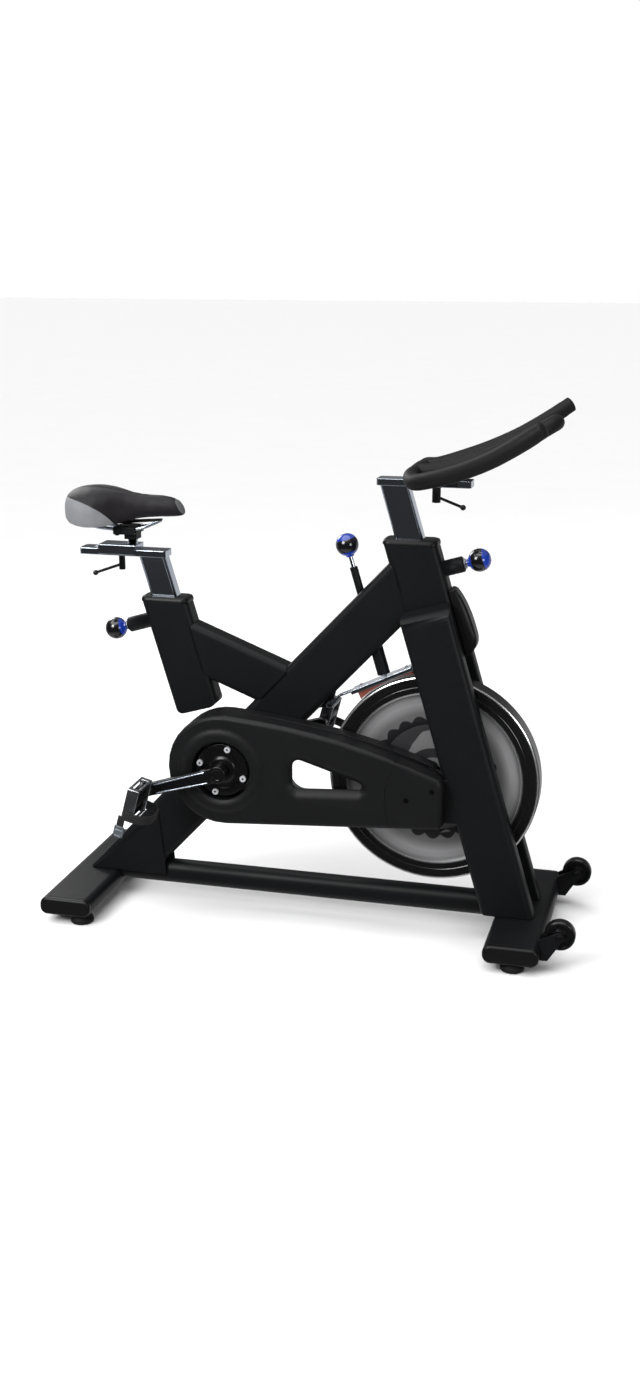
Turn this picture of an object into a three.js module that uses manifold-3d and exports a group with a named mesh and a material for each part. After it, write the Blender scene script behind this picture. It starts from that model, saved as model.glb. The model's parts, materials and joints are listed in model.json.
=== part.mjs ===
// Indoor exercise cycle: millimetres, +X towards the handlebar, +Y to the rider's left, +Z up.
// Lengths are given from the crank axis along X, from the middle of the machine along Y and from
// the floor along Z. The exported group is moved along X so that its origin is under its middle.
import * as THREE from "three";
import { mergeVertices } from "three/addons/utils/BufferGeometryUtils.js";
import Module from "manifold-3d";

const wasm = await Module();
wasm.setup();

// ---------------------------------------------------------------- driving dimensions

const GAP = 0.3; // between pieces that touch
const WALL = 3; // steel tube wall
const TILT = THREE.MathUtils.degToRad(16.6); // seat tube, head tube, fork and brake rod lean back

// Main tubes, all of one section, "depth" in the plane of the frame and "width" across it.
const TUBE = { depth: 104, width: 56, corner: 14 };
const MAIN_TUBE = { x: 108, z: 470.5, lean: THREE.MathUtils.degToRad(43), depth: 113 };
const STAY = { x: 16, z: 560, lean: THREE.MathUtils.degToRad(-68.5), depth: 104 };
const SEAT_TUBE = { x: -154.5, z: 706, depth: 102, length: 258 };
const HEAD_TUBE = { x: 391, z: 857, depth: 110, length: 262 };
const POST = { depth: 58, width: 32, corner: 5 };

// Base: two wide flat cross tubes joined by one oval beam.
const STABILIZER = { width: 118, height: 40, corner: 17, bottom: 20, length: 424, cap: 13 };
const FRONT_X = 657;
const REAR_X = -333;
const BEAM = { width: 50, height: 54, corner: 22, z: 60, rear: -318, front: 642 };
const FOOT = { radius: 26, height: 19.7, stud: 5, frontX: 659, rearX: -303, y: 196 };
const CASTOR = { x: 753, y: 176, z: 81, radius: 32.5, width: 24, axle: 4 };

// Fork legs stand outside the flywheel.
const LEG = { inner: 35, outer: 75, top: 718, crown: 604 };

// Drive.
const CRANK = { z: 351, length: 170, angle: THREE.MathUtils.degToRad(197), armY: 122, armThick: 18 };
const BELT_Y = 55;
const BELT = { width: 10, thick: 3 };
const DRIVE_PULLEY = { radius: 86 };
const DRIVEN_PULLEY = { radius: 28 };
const DISC = { radius: 60, boltCircle: 51, boltRadius: 8, boltAngle: THREE.MathUtils.degToRad(56.6) };
const PEDAL = { length: 74, width: 84, thick: 26, y: 200, lean: THREE.MathUtils.degToRad(15) };
const FLYWHEEL = { x: 452, z: 342.5, radius: 230, inner: 192, width: 46, hub: 28, axle: 8 };
const DROPOUT = { rear: 424, bottom: 264, top: 360, thick: 8 };

// Belt guard.
const GUARD = { rear: 124, near: 110, split: 62, inner: 31.5, wall: 3, round: 10 };
const SEAM = { x: 532, z: 317, radius: 168 };
const GUARD_FRONT_X = 489;
const RECESS = 66;

// Saddle and its rail.
const SEAT_RAIL = { rear: -348, front: -148, bottom: 798, height: 14, width: 44, slot: [-322, -214] };
const SEAT_CARRIAGE = { rear: -302, front: -216, top: 822 };
const SEAT_LEVER = { bolt: -257, barrel: 7, turn: THREE.MathUtils.degToRad(-141.6), reach: 61 };
const SADDLE_STEM = { x: -230, radius: 11, top: 846 };
const SADDLE = { rear: -370, nose: -103, halfWidth: 100 };

// Handlebar and its rail.
const BAR_RAIL = { rear: 320, front: 518, bottom: 974, height: 14, width: 44, slot: [402, 474] };
const BAR_CARRIAGE = { rear: 430, front: 490, top: 1003 };
const BAR_LEVER = { bolt: 443, barrel: 9, turn: THREE.MathUtils.degToRad(-29.4), reach: 71 };
const BAR_RADIUS = 17;

// Brake.
const BRAKE_ROD = {
  x: 254,
  z: 841,
  radius: 4.5,
  knob: 23,
  sleeve: 8.5,
  sleeveTop: 48,
  block: 14,
  blockEnd: 288,
  tip: 292.5,
};
const BRAKE_PIVOT = { x: 218, z: 489, pin: 4 };
const BRAKE_ARM = { slope: THREE.MathUtils.degToRad(-25.2), from: 60, to: 206, lift: 8, thick: 5 };
const BRAKE_PRESS = THREE.MathUtils.degToRad(1.6); // the arm's swing from rest to the flywheel
const PAD_GAP = 0.6; // left between pad and rim with the brake pressed

const PIN = { barrel: 17, knob: 23, shaft: 5 };
const SEAT_PIN = { z: -39, side: -1, barrelLength: 55, knobAt: 137.5 };
const BAR_PIN = { z: -74, side: 1, barrelLength: 42, knobAt: 128 };

// The floor-plan ends of the machine, which set the origin.
const BOX_MIDDLE_X = (REAR_X - STABILIZER.width / 2 + CASTOR.x + CASTOR.radius) / 2;

// ---------------------------------------------------------------- finishes

const finish = (color, roughness, metalness) =>
  new THREE.MeshStandardMaterial({ color, roughness, metalness });
const paint = () => finish(0x1d1f20, 0.42, 0.2);
const plastic = () => finish(0x232527, 0.5, 0);
const rubber = () => finish(0x161616, 0.85, 0);
const chrome = () => finish(0xd9dce0, 0.12, 1);
const steel = () => finish(0x9a9da1, 0.35, 1);
const foam = () => finish(0x1b1b1d, 0.8, 0);

// ---------------------------------------------------------------- solids and booleans

/** A three.js geometry as a manifold solid. */
function solid(geometry) {
  const bare = geometry.clone();
  bare.deleteAttribute("normal");
  bare.deleteAttribute("uv");
  const merged = mergeVertices(bare, 1e-4);
  return new wasm.Manifold(
    new wasm.Mesh({
      numProp: 3,
      vertProperties: merged.attributes.position.array,
      triVerts: new Uint32Array(merged.index.array),
    }),
  );
}

/** A manifold solid as a three.js geometry. */
function geometryOf(body) {
  const data = body.getMesh();
  const geometry = new THREE.BufferGeometry();
  geometry.setAttribute("position", new THREE.BufferAttribute(data.vertProperties, 3));
  geometry.setIndex(new THREE.BufferAttribute(data.triVerts, 1));
  geometry.computeVertexNormals();
  return geometry;
}

/** Cuts every tool out of the base, which may be a geometry or a solid. */
function cut(base, ...tools) {
  return tools.reduce((left, tool) => left.subtract(asSolid(tool)), asSolid(base));
}

/** Joins pieces into one solid. */
function join(...pieces) {
  return pieces.map(asSolid).reduce((left, piece) => left.add(piece));
}

function asSolid(shape) {
  return shape.isBufferGeometry ? solid(shape) : shape;
}

/** A named mesh of a geometry or a solid. */
function piece(name, shape, material) {
  const mesh = new THREE.Mesh(shape.isBufferGeometry ? shape : geometryOf(shape), material);
  mesh.name = name;
  return mesh;
}

/** A group at (x, y, z), turned about Y by lean: a positive lean tips its top towards +X. */
function place(x, y, z, lean, ...children) {
  const group = new THREE.Group();
  group.position.set(x, y, z);
  group.rotation.y = lean;
  group.add(...children);
  return group;
}

/** The same placing as a matrix, for shapes that are cut by their neighbours. */
function placing(x, y, z, lean) {
  return new THREE.Matrix4().makeRotationY(lean).setPosition(x, y, z);
}

// ---------------------------------------------------------------- basic shapes

/** A rectangle with round corners, centred on the origin. */
function roundedRectangle(width, height, corner) {
  const x = width / 2;
  const y = height / 2;
  const shape = new THREE.Shape();
  shape.moveTo(x - corner, -y);
  shape.absarc(x - corner, corner - y, corner, -Math.PI / 2, 0, false);
  shape.absarc(x - corner, y - corner, corner, 0, Math.PI / 2, false);
  shape.absarc(corner - x, y - corner, corner, Math.PI / 2, Math.PI, false);
  shape.absarc(corner - x, corner - y, corner, Math.PI, 1.5 * Math.PI, false);
  return shape;
}

/** Extrudes a shape from z0 to z1. */
function prism(shape, z0, z1, curveSegments = 3) {
  const geometry = new THREE.ExtrudeGeometry(shape, {
    depth: z1 - z0,
    bevelEnabled: false,
    curveSegments,
  });
  return geometry.translate(0, 0, z0);
}

/** A bar of rounded rectangular section along Z, grown by "grow" on every side. */
function bar(section, z0, z1, grow = 0) {
  const shape = roundedRectangle(
    section.depth + 2 * grow,
    section.width + 2 * grow,
    section.corner + grow,
  );
  return prism(shape, z0, z1);
}

/** A box between two corners. */
function block(x0, x1, y0, y1, z0, z1) {
  const geometry = new THREE.BoxGeometry(x1 - x0, y1 - y0, z1 - z0);
  return geometry.translate((x0 + x1) / 2, (y0 + y1) / 2, (z0 + z1) / 2);
}

/** A shape drawn in X and Z, extruded across the machine from y0 to y1. */
function slab(shape, y0, y1, curveSegments = 6) {
  return prism(shape, -y1, -y0, curveSegments).rotateX(Math.PI / 2);
}

/** A polygon from [x, z] corners. */
function polygon(points) {
  return new THREE.Shape(points.map(([x, z]) => new THREE.Vector2(x, z)));
}

/** A solid of revolution about Y: the profile is [radius, y] points, closed on the axis or itself. */
function turned(profile, segments = 24) {
  const points = profile.map(([radius, y]) => new THREE.Vector2(radius, y));
  return new THREE.LatheGeometry(points, segments);
}

/** A plain rod along Y from y0 to y1, or a ring where bore is given. */
function rod(radius, y0, y1, bore = 0, segments = 24) {
  const outline = [
    [bore, y0],
    [radius, y0],
    [radius, y1],
    [bore, y1],
  ];
  return turned(bore ? [...outline, [bore, y0]] : outline, segments);
}

/** Turns a shape whose axis is Y so that its axis is Z. */
function upright(geometry) {
  return geometry.rotateX(Math.PI / 2);
}

/** A ball of the given radius. */
function ball(radius, segments = 14) {
  return new THREE.SphereGeometry(radius, segments, segments / 2 + 2);
}

/** A round tube of the given radius along a curve. */
function tube(curve, radius, steps, sides = 10) {
  const circle = new THREE.Shape();
  circle.absarc(0, 0, radius, 0, 2 * Math.PI, false);
  return new THREE.ExtrudeGeometry(circle, {
    steps,
    curveSegments: sides / 2,
    extrudePath: curve,
    bevelEnabled: false,
  });
}

// ---------------------------------------------------------------- base

const stabilizerSection = {
  depth: STABILIZER.width,
  width: STABILIZER.height,
  corner: STABILIZER.corner,
};
const stabilizerZ = STABILIZER.bottom + STABILIZER.height / 2;
const stabilizerTop = STABILIZER.bottom + STABILIZER.height;

/** A bar along Y with its section in X and Z. */
function crossBar(section, y0, y1, grow = 0) {
  return bar(section, -y1, -y0, grow).rotateX(Math.PI / 2);
}

function stabilizer(name, x, footX) {
  const half = STABILIZER.length / 2;
  const inside = {
    depth: stabilizerSection.depth - 2 * WALL,
    width: stabilizerSection.width - 2 * WALL,
    corner: STABILIZER.corner - WALL,
  };
  const holes = [-FOOT.y, FOOT.y].map((y) =>
    upright(rod(FOOT.stud + GAP, -STABILIZER.height / 2 - 1, 0, 0, 16)).translate(footX - x, y, 0),
  );
  const shell = cut(crossBar(stabilizerSection, -half, half), crossBar(inside, -half - 1, half + 1));
  return place(x, 0, stabilizerZ, 0, piece(name, cut(shell, ...holes), paint()));
}

/** A plastic cap: a domed outside, and a plug that fits in the open end of the tube. */
function stabilizerCap(name, x, side) {
  const start = STABILIZER.length / 2 + GAP;
  const dome = new THREE.ExtrudeGeometry(
    roundedRectangle(STABILIZER.width, STABILIZER.height, STABILIZER.corner),
    {
      depth: STABILIZER.cap - 6,
      bevelThickness: 6,
      bevelSize: 6,
      bevelOffset: -6,
      bevelSegments: 2,
      curveSegments: 3,
    },
  );
  const flat = cut(dome, block(-80, 80, -40, 40, -10, 0));
  const plug = prism(
    roundedRectangle(
      STABILIZER.width - 2 * WALL - 2 * GAP,
      STABILIZER.height - 2 * WALL - 2 * GAP,
      STABILIZER.corner - WALL,
    ),
    -8,
    0.01,
  );
  const cap = geometryOf(join(flat, plug)).rotateX(side < 0 ? Math.PI / 2 : -Math.PI / 2);
  return place(x, side * start, stabilizerZ, 0, piece(name, cap, plastic()));
}

/** A levelling foot: a rubber-faced disc on a threaded stud that screws into the stabilizer. */
function foot(name, x, y) {
  const profile = [
    [0, 0],
    [FOOT.radius - 3, 0],
    [FOOT.radius, 3],
    [FOOT.radius, 9],
    [FOOT.radius - 8, FOOT.height],
    [FOOT.stud, FOOT.height],
    [FOOT.stud, FOOT.height + 20],
    [0, FOOT.height + 20],
  ];
  return place(x, y, 0, 0, piece(name, upright(turned(profile, 16)), rubber()));
}

function baseBeam() {
  const section = { depth: BEAM.height, width: BEAM.width, corner: BEAM.corner };
  const inside = {
    depth: BEAM.height - 2 * WALL,
    width: BEAM.width - 2 * WALL,
    corner: BEAM.corner - WALL,
  };
  const along = placing(0, 0, BEAM.z, Math.PI / 2);
  const outer = bar(section, BEAM.rear, BEAM.front).applyMatrix4(along);
  const hollow = bar(inside, BEAM.rear - 1, BEAM.front + 1).applyMatrix4(along);
  const crossTubes = [REAR_X, FRONT_X].map((x) =>
    crossBar(stabilizerSection, -60, 60, GAP).translate(x, 0, stabilizerZ),
  );
  return cut(outer, hollow, ...crossTubes);
}

/** A U bracket on the front of the stabilizer, with the axle that the transport wheel turns on. */
function castorBracket(name, y) {
  const start = FRONT_X + STABILIZER.width / 2 + GAP;
  const gap = CASTOR.width / 2 + 1.5;
  const cheek = new THREE.Shape();
  cheek.moveTo(start - 6, stabilizerZ - 14);
  cheek.lineTo(start + 14, stabilizerZ - 14);
  cheek.lineTo(CASTOR.x + 9, CASTOR.z - 5);
  cheek.absarc(CASTOR.x, CASTOR.z, 10, -0.5, Math.PI / 2 + 0.6, false);
  cheek.lineTo(start - 6, stabilizerTop + 10);
  const cheeks = [-gap - 4, gap].map((y0) => slab(cheek, y0, y0 + 4));
  const web = block(start - 6, start + 3, -gap - 4, gap + 4, stabilizerZ - 14, stabilizerTop - 4);
  const axle = join(
    rod(CASTOR.axle, -gap - 9, gap + 9, 0, 16),
    rod(7, -gap - 9, -gap - 4, 0, 6),
    rod(7, gap + 4, gap + 9, 0, 6),
  );
  const bracket = cut(
    join(...cheeks, web),
    crossBar(stabilizerSection, -60, 60, GAP).translate(FRONT_X, 0, stabilizerZ),
  );
  return place(0, y, 0, 0, piece(name, bracket.add(axle.translate([CASTOR.x, 0, CASTOR.z])), paint()));
}

function castorWheel(name, y) {
  const half = CASTOR.width / 2;
  const profile = [
    [CASTOR.axle + GAP, -half],
    [12, -half],
    [14, -half + 4],
    [CASTOR.radius - 9, -half + 4],
    [CASTOR.radius - 5, -half],
    [CASTOR.radius, -half + 5],
    [CASTOR.radius, half - 5],
    [CASTOR.radius - 5, half],
    [CASTOR.radius - 9, half - 4],
    [14, half - 4],
    [12, half],
    [CASTOR.axle + GAP, half],
    [CASTOR.axle + GAP, -half],
  ];
  return place(CASTOR.x, y, CASTOR.z, 0, piece(name, turned(profile, 20), rubber()));
}

function base() {
  const group = new THREE.Group();
  group.add(
    stabilizer("front_stabilizer", FRONT_X, FOOT.frontX),
    stabilizer("rear_stabilizer", REAR_X, FOOT.rearX),
    piece("base_beam", baseBeam(), paint()),
  );
  for (const [side, y] of [["right", -1], ["left", 1]]) {
    group.add(
      stabilizerCap(`front_cap_${side}`, FRONT_X, y),
      stabilizerCap(`rear_cap_${side}`, REAR_X, y),
      foot(`front_foot_${side}`, FOOT.frontX, y * FOOT.y),
      foot(`rear_foot_${side}`, FOOT.rearX, y * FOOT.y),
      castorBracket(`wheel_bracket_${side}`, y * CASTOR.y),
      castorWheel(`transport_wheel_${side}`, y * CASTOR.y),
    );
  }
  return group;
}

// ---------------------------------------------------------------- frame tubes

const seatPlacing = placing(SEAT_TUBE.x, 0, SEAT_TUBE.z, -TILT);
const headPlacing = placing(HEAD_TUBE.x, 0, HEAD_TUBE.z, -TILT);
const mainPlacing = placing(MAIN_TUBE.x, 0, MAIN_TUBE.z, MAIN_TUBE.lean);
const stayPlacing = placing(STAY.x, 0, STAY.z, STAY.lean);
const rodPlacing = placing(BRAKE_ROD.x, 0, BRAKE_ROD.z, -TILT);

const seatSection = { ...TUBE, depth: SEAT_TUBE.depth };
const headSection = { ...TUBE, depth: HEAD_TUBE.depth };
const mainSection = { ...TUBE, depth: MAIN_TUBE.depth };
const staySection = { ...TUBE, depth: STAY.depth };

/** The same section without its wall. */
function bore(section, wall = WALL) {
  return {
    depth: section.depth - 2 * wall,
    width: section.width - 2 * wall,
    corner: section.corner - wall,
  };
}

/** A shape turned about Y, laid along local X towards the pin's side at the pin's height. */
function acrossTube(geometry, { z, side }) {
  return geometry.rotateZ(side > 0 ? -Math.PI / 2 : Math.PI / 2).translate(0, 0, z);
}

/** The hole that a spring pin passes through, from the middle of its tube outwards. */
function pinHole(radius, pin) {
  return acrossTube(rod(radius, 20, 200, 0, 16), pin);
}

/** The spring pin's barrel, welded to the face of its tube. */
function pinBarrel(pin, depth) {
  const start = depth / 2 - 1;
  const end = depth / 2 + pin.barrelLength;
  const barrel = turned(
    [
      [0, start],
      [PIN.barrel, start],
      [PIN.barrel, end - 3],
      [PIN.barrel - 3, end],
      [0, end],
    ],
    24,
  );
  return acrossTube(barrel, pin);
}

/** A tube in its own frame with a pin barrel on it, open from z0 up. */
function pinnedTube(outside, section, z0, pin) {
  return cut(
    join(outside, pinBarrel(pin, section.depth)),
    bar(bore(section), z0, 70),
    pinHole(PIN.shaft + GAP, pin),
  );
}

/** The seat tube: closed and rounded at its foot, cut level at its top. */
function seatTube() {
  const foot = prism(
    roundedRectangle(SEAT_TUBE.depth, 2 * SEAT_TUBE.length, 20),
    -TUBE.width / 2,
    TUBE.width / 2,
  ).rotateX(Math.PI / 2);
  const outside = solid(bar(seatSection, -SEAT_TUBE.length, 60)).intersect(solid(foot));
  const shell = pinnedTube(outside, seatSection, -SEAT_TUBE.length + 14, SEAT_PIN);
  const above = block(-400, 100, -60, 60, SEAT_TUBE.z - 6, SEAT_TUBE.z + 200);
  return cut(geometryOf(shell).applyMatrix4(seatPlacing), above);
}

/** The head tube: open at its foot between the fork legs, cut level at its top. */
function headTube() {
  const outside = bar(headSection, -HEAD_TUBE.length, 60);
  const shell = pinnedTube(outside, headSection, -HEAD_TUBE.length - 1, BAR_PIN);
  const above = block(200, 600, -60, 60, HEAD_TUBE.z - 6, HEAD_TUBE.z + 200);
  return cut(geometryOf(shell).applyMatrix4(headPlacing), above);
}

const headSolid = solid(bar(headSection, -HEAD_TUBE.length, 60, GAP).applyMatrix4(headPlacing));
const seatSolid = solid(bar(seatSection, -SEAT_TUBE.length, 60, GAP).applyMatrix4(seatPlacing));
const mainSolid = solid(bar(mainSection, -470, 430, GAP).applyMatrix4(mainPlacing));
const beamSolid = solid(
  bar({ depth: BEAM.height, width: BEAM.width, corner: BEAM.corner }, BEAM.rear, BEAM.front, GAP)
    .applyMatrix4(placing(0, 0, BEAM.z, Math.PI / 2)),
);

/** The brake rod's sleeve, along the rod: thin above the main tube, stout below it. */
function brakeSleeve(grow, hole) {
  const thin = BRAKE_ROD.sleeve + grow;
  const stout = BRAKE_ROD.block + grow;
  const outline = [
    [hole, -BRAKE_ROD.blockEnd - grow],
    [stout, -BRAKE_ROD.blockEnd - grow],
    [stout, -200],
    [thin, -200],
    [thin, -BRAKE_ROD.sleeveTop],
    [hole, -BRAKE_ROD.sleeveTop],
  ];
  return upright(turned(hole ? [...outline, outline[0]] : outline, 20));
}

/** The lug under the main tube with the pin that the brake arm swings on. */
function brakeLug() {
  const { x, z, pin } = BRAKE_PIVOT;
  const shape = new THREE.Shape();
  shape.absarc(x, z, 8, -Math.PI * 0.75, Math.PI * 0.25, false);
  shape.lineTo(x + 14, z + 36);
  shape.lineTo(x - 32, z - 12);
  return join(slab(shape, -5, 5), rod(pin, -14, 14, 0, 16).translate(x, 0, z));
}

/** Plates on both sides of the main tube's foot, standing on the rear stabilizer. */
function footGussets() {
  const floor = stabilizerTop + 1;
  const shape = polygon([
    [-345, floor],
    [-163, floor],
    [-165, 92],
    [-178, 205],
    [-250, 140],
  ]);
  const outer = TUBE.width / 2 + 4;
  return [slab(shape, outer - 5, outer), slab(shape, -outer, 5 - outer)];
}

/** The long tube from head to rear stabilizer, with the crank's shell and the brake's lug. */
function mainTube() {
  const shell = cut(bar(mainSection, -640, 430), bar(bore(mainSection), -641, 431));
  const bottomBracket = rod(25, -46, 46, 0, 20).translate(0, 0, CRANK.z);
  const bracketBore = rod(21, -47, 47, 0, 20).translate(0, 0, CRANK.z);
  return cut(
    join(geometryOf(shell).applyMatrix4(mainPlacing), bottomBracket, brakeLug(), ...footGussets()),
    headSolid,
    beamSolid,
    bracketBore,
    block(-700, 200, -60, 60, -200, stabilizerTop + GAP),
    brakeSleeve(GAP, 0).applyMatrix4(rodPlacing),
  );
}

function seatStay() {
  const shell = cut(bar(staySection, -110, 155), bar(bore(staySection), -111, 156));
  return cut(geometryOf(shell).applyMatrix4(stayPlacing), mainSolid, seatSolid);
}

/** A shape drawn in Y and Z, extruded along X. */
function frontSlab(shape, x0, x1) {
  const turn = new THREE.Matrix4().makeBasis(
    new THREE.Vector3(0, 1, 0),
    new THREE.Vector3(0, 0, 1),
    new THREE.Vector3(1, 0, 0),
  );
  return prism(shape, x0, x1, 6).applyMatrix4(turn);
}

/** Outside of the left fork leg: a wide flat tube with a round shoulder against the head tube. */
function legOutside() {
  const headSide = TUBE.width / 2 + GAP;
  const round = 34;
  const shoulder = (LEG.top - HEAD_TUBE.z) / Math.cos(TILT);
  const crown = (LEG.crown - HEAD_TUBE.z) / Math.cos(TILT);
  const outline = new THREE.Shape();
  outline.moveTo(LEG.inner, -900);
  outline.lineTo(LEG.outer, -900);
  outline.absarc(LEG.outer - round, shoulder - round, round, 0, Math.PI / 2, false);
  outline.lineTo(headSide, shoulder + 5);
  outline.lineTo(headSide, crown);
  outline.lineTo(LEG.inner, crown - 14);
  const section = {
    depth: HEAD_TUBE.depth,
    width: LEG.outer - headSide + 1,
    corner: 15,
  };
  const column = bar(section, -900, 0).translate(0, (LEG.outer + headSide) / 2, 0);
  return solid(column).intersect(solid(frontSlab(outline, -100, 100)));
}

/** A plate behind a fork leg that carries one end of the flywheel's axle. */
function dropout() {
  const round = 20;
  const shape = new THREE.Shape();
  shape.moveTo(540, DROPOUT.bottom);
  shape.lineTo(510, DROPOUT.top);
  shape.absarc(DROPOUT.rear + round, DROPOUT.top - round, round, Math.PI / 2, Math.PI, false);
  shape.absarc(DROPOUT.rear + round, DROPOUT.bottom + round, round, Math.PI, 1.5 * Math.PI, false);
  return slab(shape, LEG.outer - DROPOUT.thick, LEG.outer - 0.5);
}

/** A fork leg with its dropout: side is +1 for the left leg and -1 for the right one. */
function forkLeg(side) {
  const inside = {
    depth: HEAD_TUBE.depth - 2 * WALL,
    width: LEG.outer - LEG.inner - 2 * WALL,
    corner: 11,
  };
  const middle = (LEG.outer + LEG.inner) / 2;
  const hollow = bar(inside, -901, -300).translate(0, middle, 0).applyMatrix4(headPlacing);
  const left = cut(
    join(geometryOf(legOutside()).applyMatrix4(headPlacing), dropout()),
    hollow,
    rod(FLYWHEEL.axle + GAP, 0, 120, 0, 20).translate(FLYWHEEL.x, 0, FLYWHEEL.z),
    block(0, 1200, -200, 200, -200, stabilizerTop + GAP),
  );
  return side > 0 ? left : mirrored(left);
}

/** A solid reflected in the middle plane. */
function mirrored(body) {
  return body.mirror([0, 1, 0]);
}

/** A level plane's placing in a leaning tube's frame, crossing its axis at local height z. */
function levelPlacing(z) {
  return new THREE.Matrix4().makeRotationY(TILT).setPosition(0, 0, z);
}

/** The plastic collar in a tube's mouth: a cap, and a sleeve that the post slides in. */
function collar(section, pin) {
  const mouth = levelPlacing((GAP - 6) / Math.cos(TILT));
  const insert = {
    depth: section.depth - 2 * WALL - 2 * GAP,
    width: section.width - 2 * WALL - 2 * GAP,
    corner: section.corner - WALL,
  };
  const edge = 8;
  const cap = new THREE.ExtrudeGeometry(
    roundedRectangle(section.depth / Math.cos(TILT) + 3, section.width + 3, section.corner + 1),
    {
      depth: 4,
      bevelThickness: edge,
      bevelSize: edge,
      bevelOffset: -edge,
      bevelSegments: 2,
      curveSegments: 3,
    },
  );
  const level = cut(cap, block(-90, 90, -60, 60, -20, 0));
  const sleeve = cut(bar(insert, -100, 40), block(-200, 200, -100, 100, 0.02, 200).applyMatrix4(mouth));
  const hole = { depth: POST.depth + 2 * GAP, width: POST.width + 2 * GAP, corner: POST.corner };
  return cut(
    join(geometryOf(level).applyMatrix4(mouth), sleeve),
    bar(hole, -140, 90),
    pinHole(PIN.shaft + GAP, pin),
  );
}

/** The pull pin: a shaft with a ball knob on its outer end, its tip just clear of the post. */
function pullPin(pin) {
  const tip = POST.depth / 2 + 0.6;
  const shaft = turned(
    [
      [0, tip],
      [PIN.shaft - 1, tip],
      [PIN.shaft, tip + 4],
      [PIN.shaft, pin.knobAt],
      [0, pin.knobAt],
    ],
    16,
  );
  return acrossTube(geometryOf(join(shaft, ball(PIN.knob).translate(0, pin.knobAt, 0))), pin);
}

/** The curved plastic cover on the front of the fork crown. */
function crownCover() {
  const face = HEAD_TUBE.depth / 2 + GAP;
  const shape = new THREE.Shape();
  shape.moveTo(face, -262);
  shape.lineTo(face + 14, -257);
  shape.quadraticCurveTo(face + 27, -246, face + 26, -222);
  shape.quadraticCurveTo(face + 26, -160, face + 11, -126);
  shape.quadraticCurveTo(face + 8, -120, face, -118);
  return slab(shape, -27, 27);
}

function frame() {
  const group = new THREE.Group();
  group.add(
    piece("main_tube", mainTube(), paint()),
    piece("seat_stay", seatStay(), paint()),
    piece("seat_tube", seatTube(), paint()),
    piece("head_tube", headTube(), paint()),
    piece("fork_leg_right", forkLeg(-1), paint()),
    piece("fork_leg_left", forkLeg(1), paint()),
    place(SEAT_TUBE.x, 0, SEAT_TUBE.z, -TILT,
      piece("seat_collar", collar(seatSection, SEAT_PIN), plastic()),
      piece("seat_pin", pullPin(SEAT_PIN), plastic()),
    ),
    place(HEAD_TUBE.x, 0, HEAD_TUBE.z, -TILT,
      piece("head_collar", collar(headSection, BAR_PIN), plastic()),
      piece("handlebar_pin", pullPin(BAR_PIN), plastic()),
      piece("crown_cover", crownCover(), plastic()),
    ),
  );
  return group;
}

// ---------------------------------------------------------------- drive

/** A belt loop outline round both pulleys, drawn in X and Z. */
function beltPath(grow, target) {
  const big = DRIVE_PULLEY.radius + grow;
  const small = DRIVEN_PULLEY.radius + grow;
  const rise = FLYWHEEL.z - CRANK.z;
  const span = Math.hypot(FLYWHEEL.x, rise);
  const slope = Math.atan2(rise, FLYWHEEL.x);
  const spread = Math.acos((big - small) / span);
  target.absarc(0, CRANK.z, big, slope + spread, slope - spread + 2 * Math.PI, false);
  target.absarc(FLYWHEEL.x, FLYWHEEL.z, small, slope - spread, slope + spread, false);
  return target;
}

function driveBelt() {
  const shape = beltPath(GAP + BELT.thick, new THREE.Shape());
  shape.holes.push(beltPath(GAP, new THREE.Path()));
  const middle = -BELT_Y;
  return slab(shape, middle - BELT.width / 2, middle + BELT.width / 2, 12);
}

/** A pulley with a rim on each side of the belt and a shallow dish in its right face. */
function pulley(radius, hole, segments) {
  const belt = BELT.width / 2 + 0.4;
  const half = belt + 1.4;
  const profile = [
    [hole, -half],
    [hole + 10, -half],
    [hole + 12, 2 - half],
    [radius - 9, 2 - half],
    [radius - 7, -half],
    [radius + 2, -half],
    [radius + 2, -belt],
    [radius, -belt],
    [radius, belt],
    [radius + 2, belt],
    [radius + 2, half],
    [hole, half],
    [hole, -half],
  ];
  return turned(profile, segments).translate(0, -BELT_Y, 0);
}

/** The long rounded outline of a crank arm from the axle along +X. */
function armOutline(hub, end, from, to) {
  const shape = new THREE.Shape();
  const lean = Math.asin((hub - end) / (to - from));
  shape.absarc(from, 0, hub, Math.PI / 2 - lean, 1.5 * Math.PI + lean, false);
  shape.absarc(to, 0, end, -Math.PI / 2 + lean, Math.PI / 2 - lean, false);
  return shape;
}

/** A crank arm along +X, its outside towards -Y, with the pedal's spindle in its end. */
function crankArm() {
  const outer = -CRANK.armY - CRANK.armThick;
  const spindle = turned(
    [
      [0, 6 - PEDAL.y - PEDAL.width / 2],
      [7, 6 - PEDAL.y - PEDAL.width / 2],
      [7, outer - 8],
      [9, outer - 8],
      [9, outer + 1],
      [0, outer + 1],
    ],
    20,
  );
  return cut(
    join(
      slab(armOutline(17, 14, 0, CRANK.length), outer, -CRANK.armY, 6),
      rod(19, outer - 1, 14 - CRANK.armY, 0, 20),
      spindle.translate(CRANK.length, 0, 0),
    ),
    slab(armOutline(7, 6, 34, CRANK.length - 34), outer - 5, outer + 3, 6),
    rod(10 + GAP, outer + 3, 0, 0, 18),
  );
}

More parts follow.
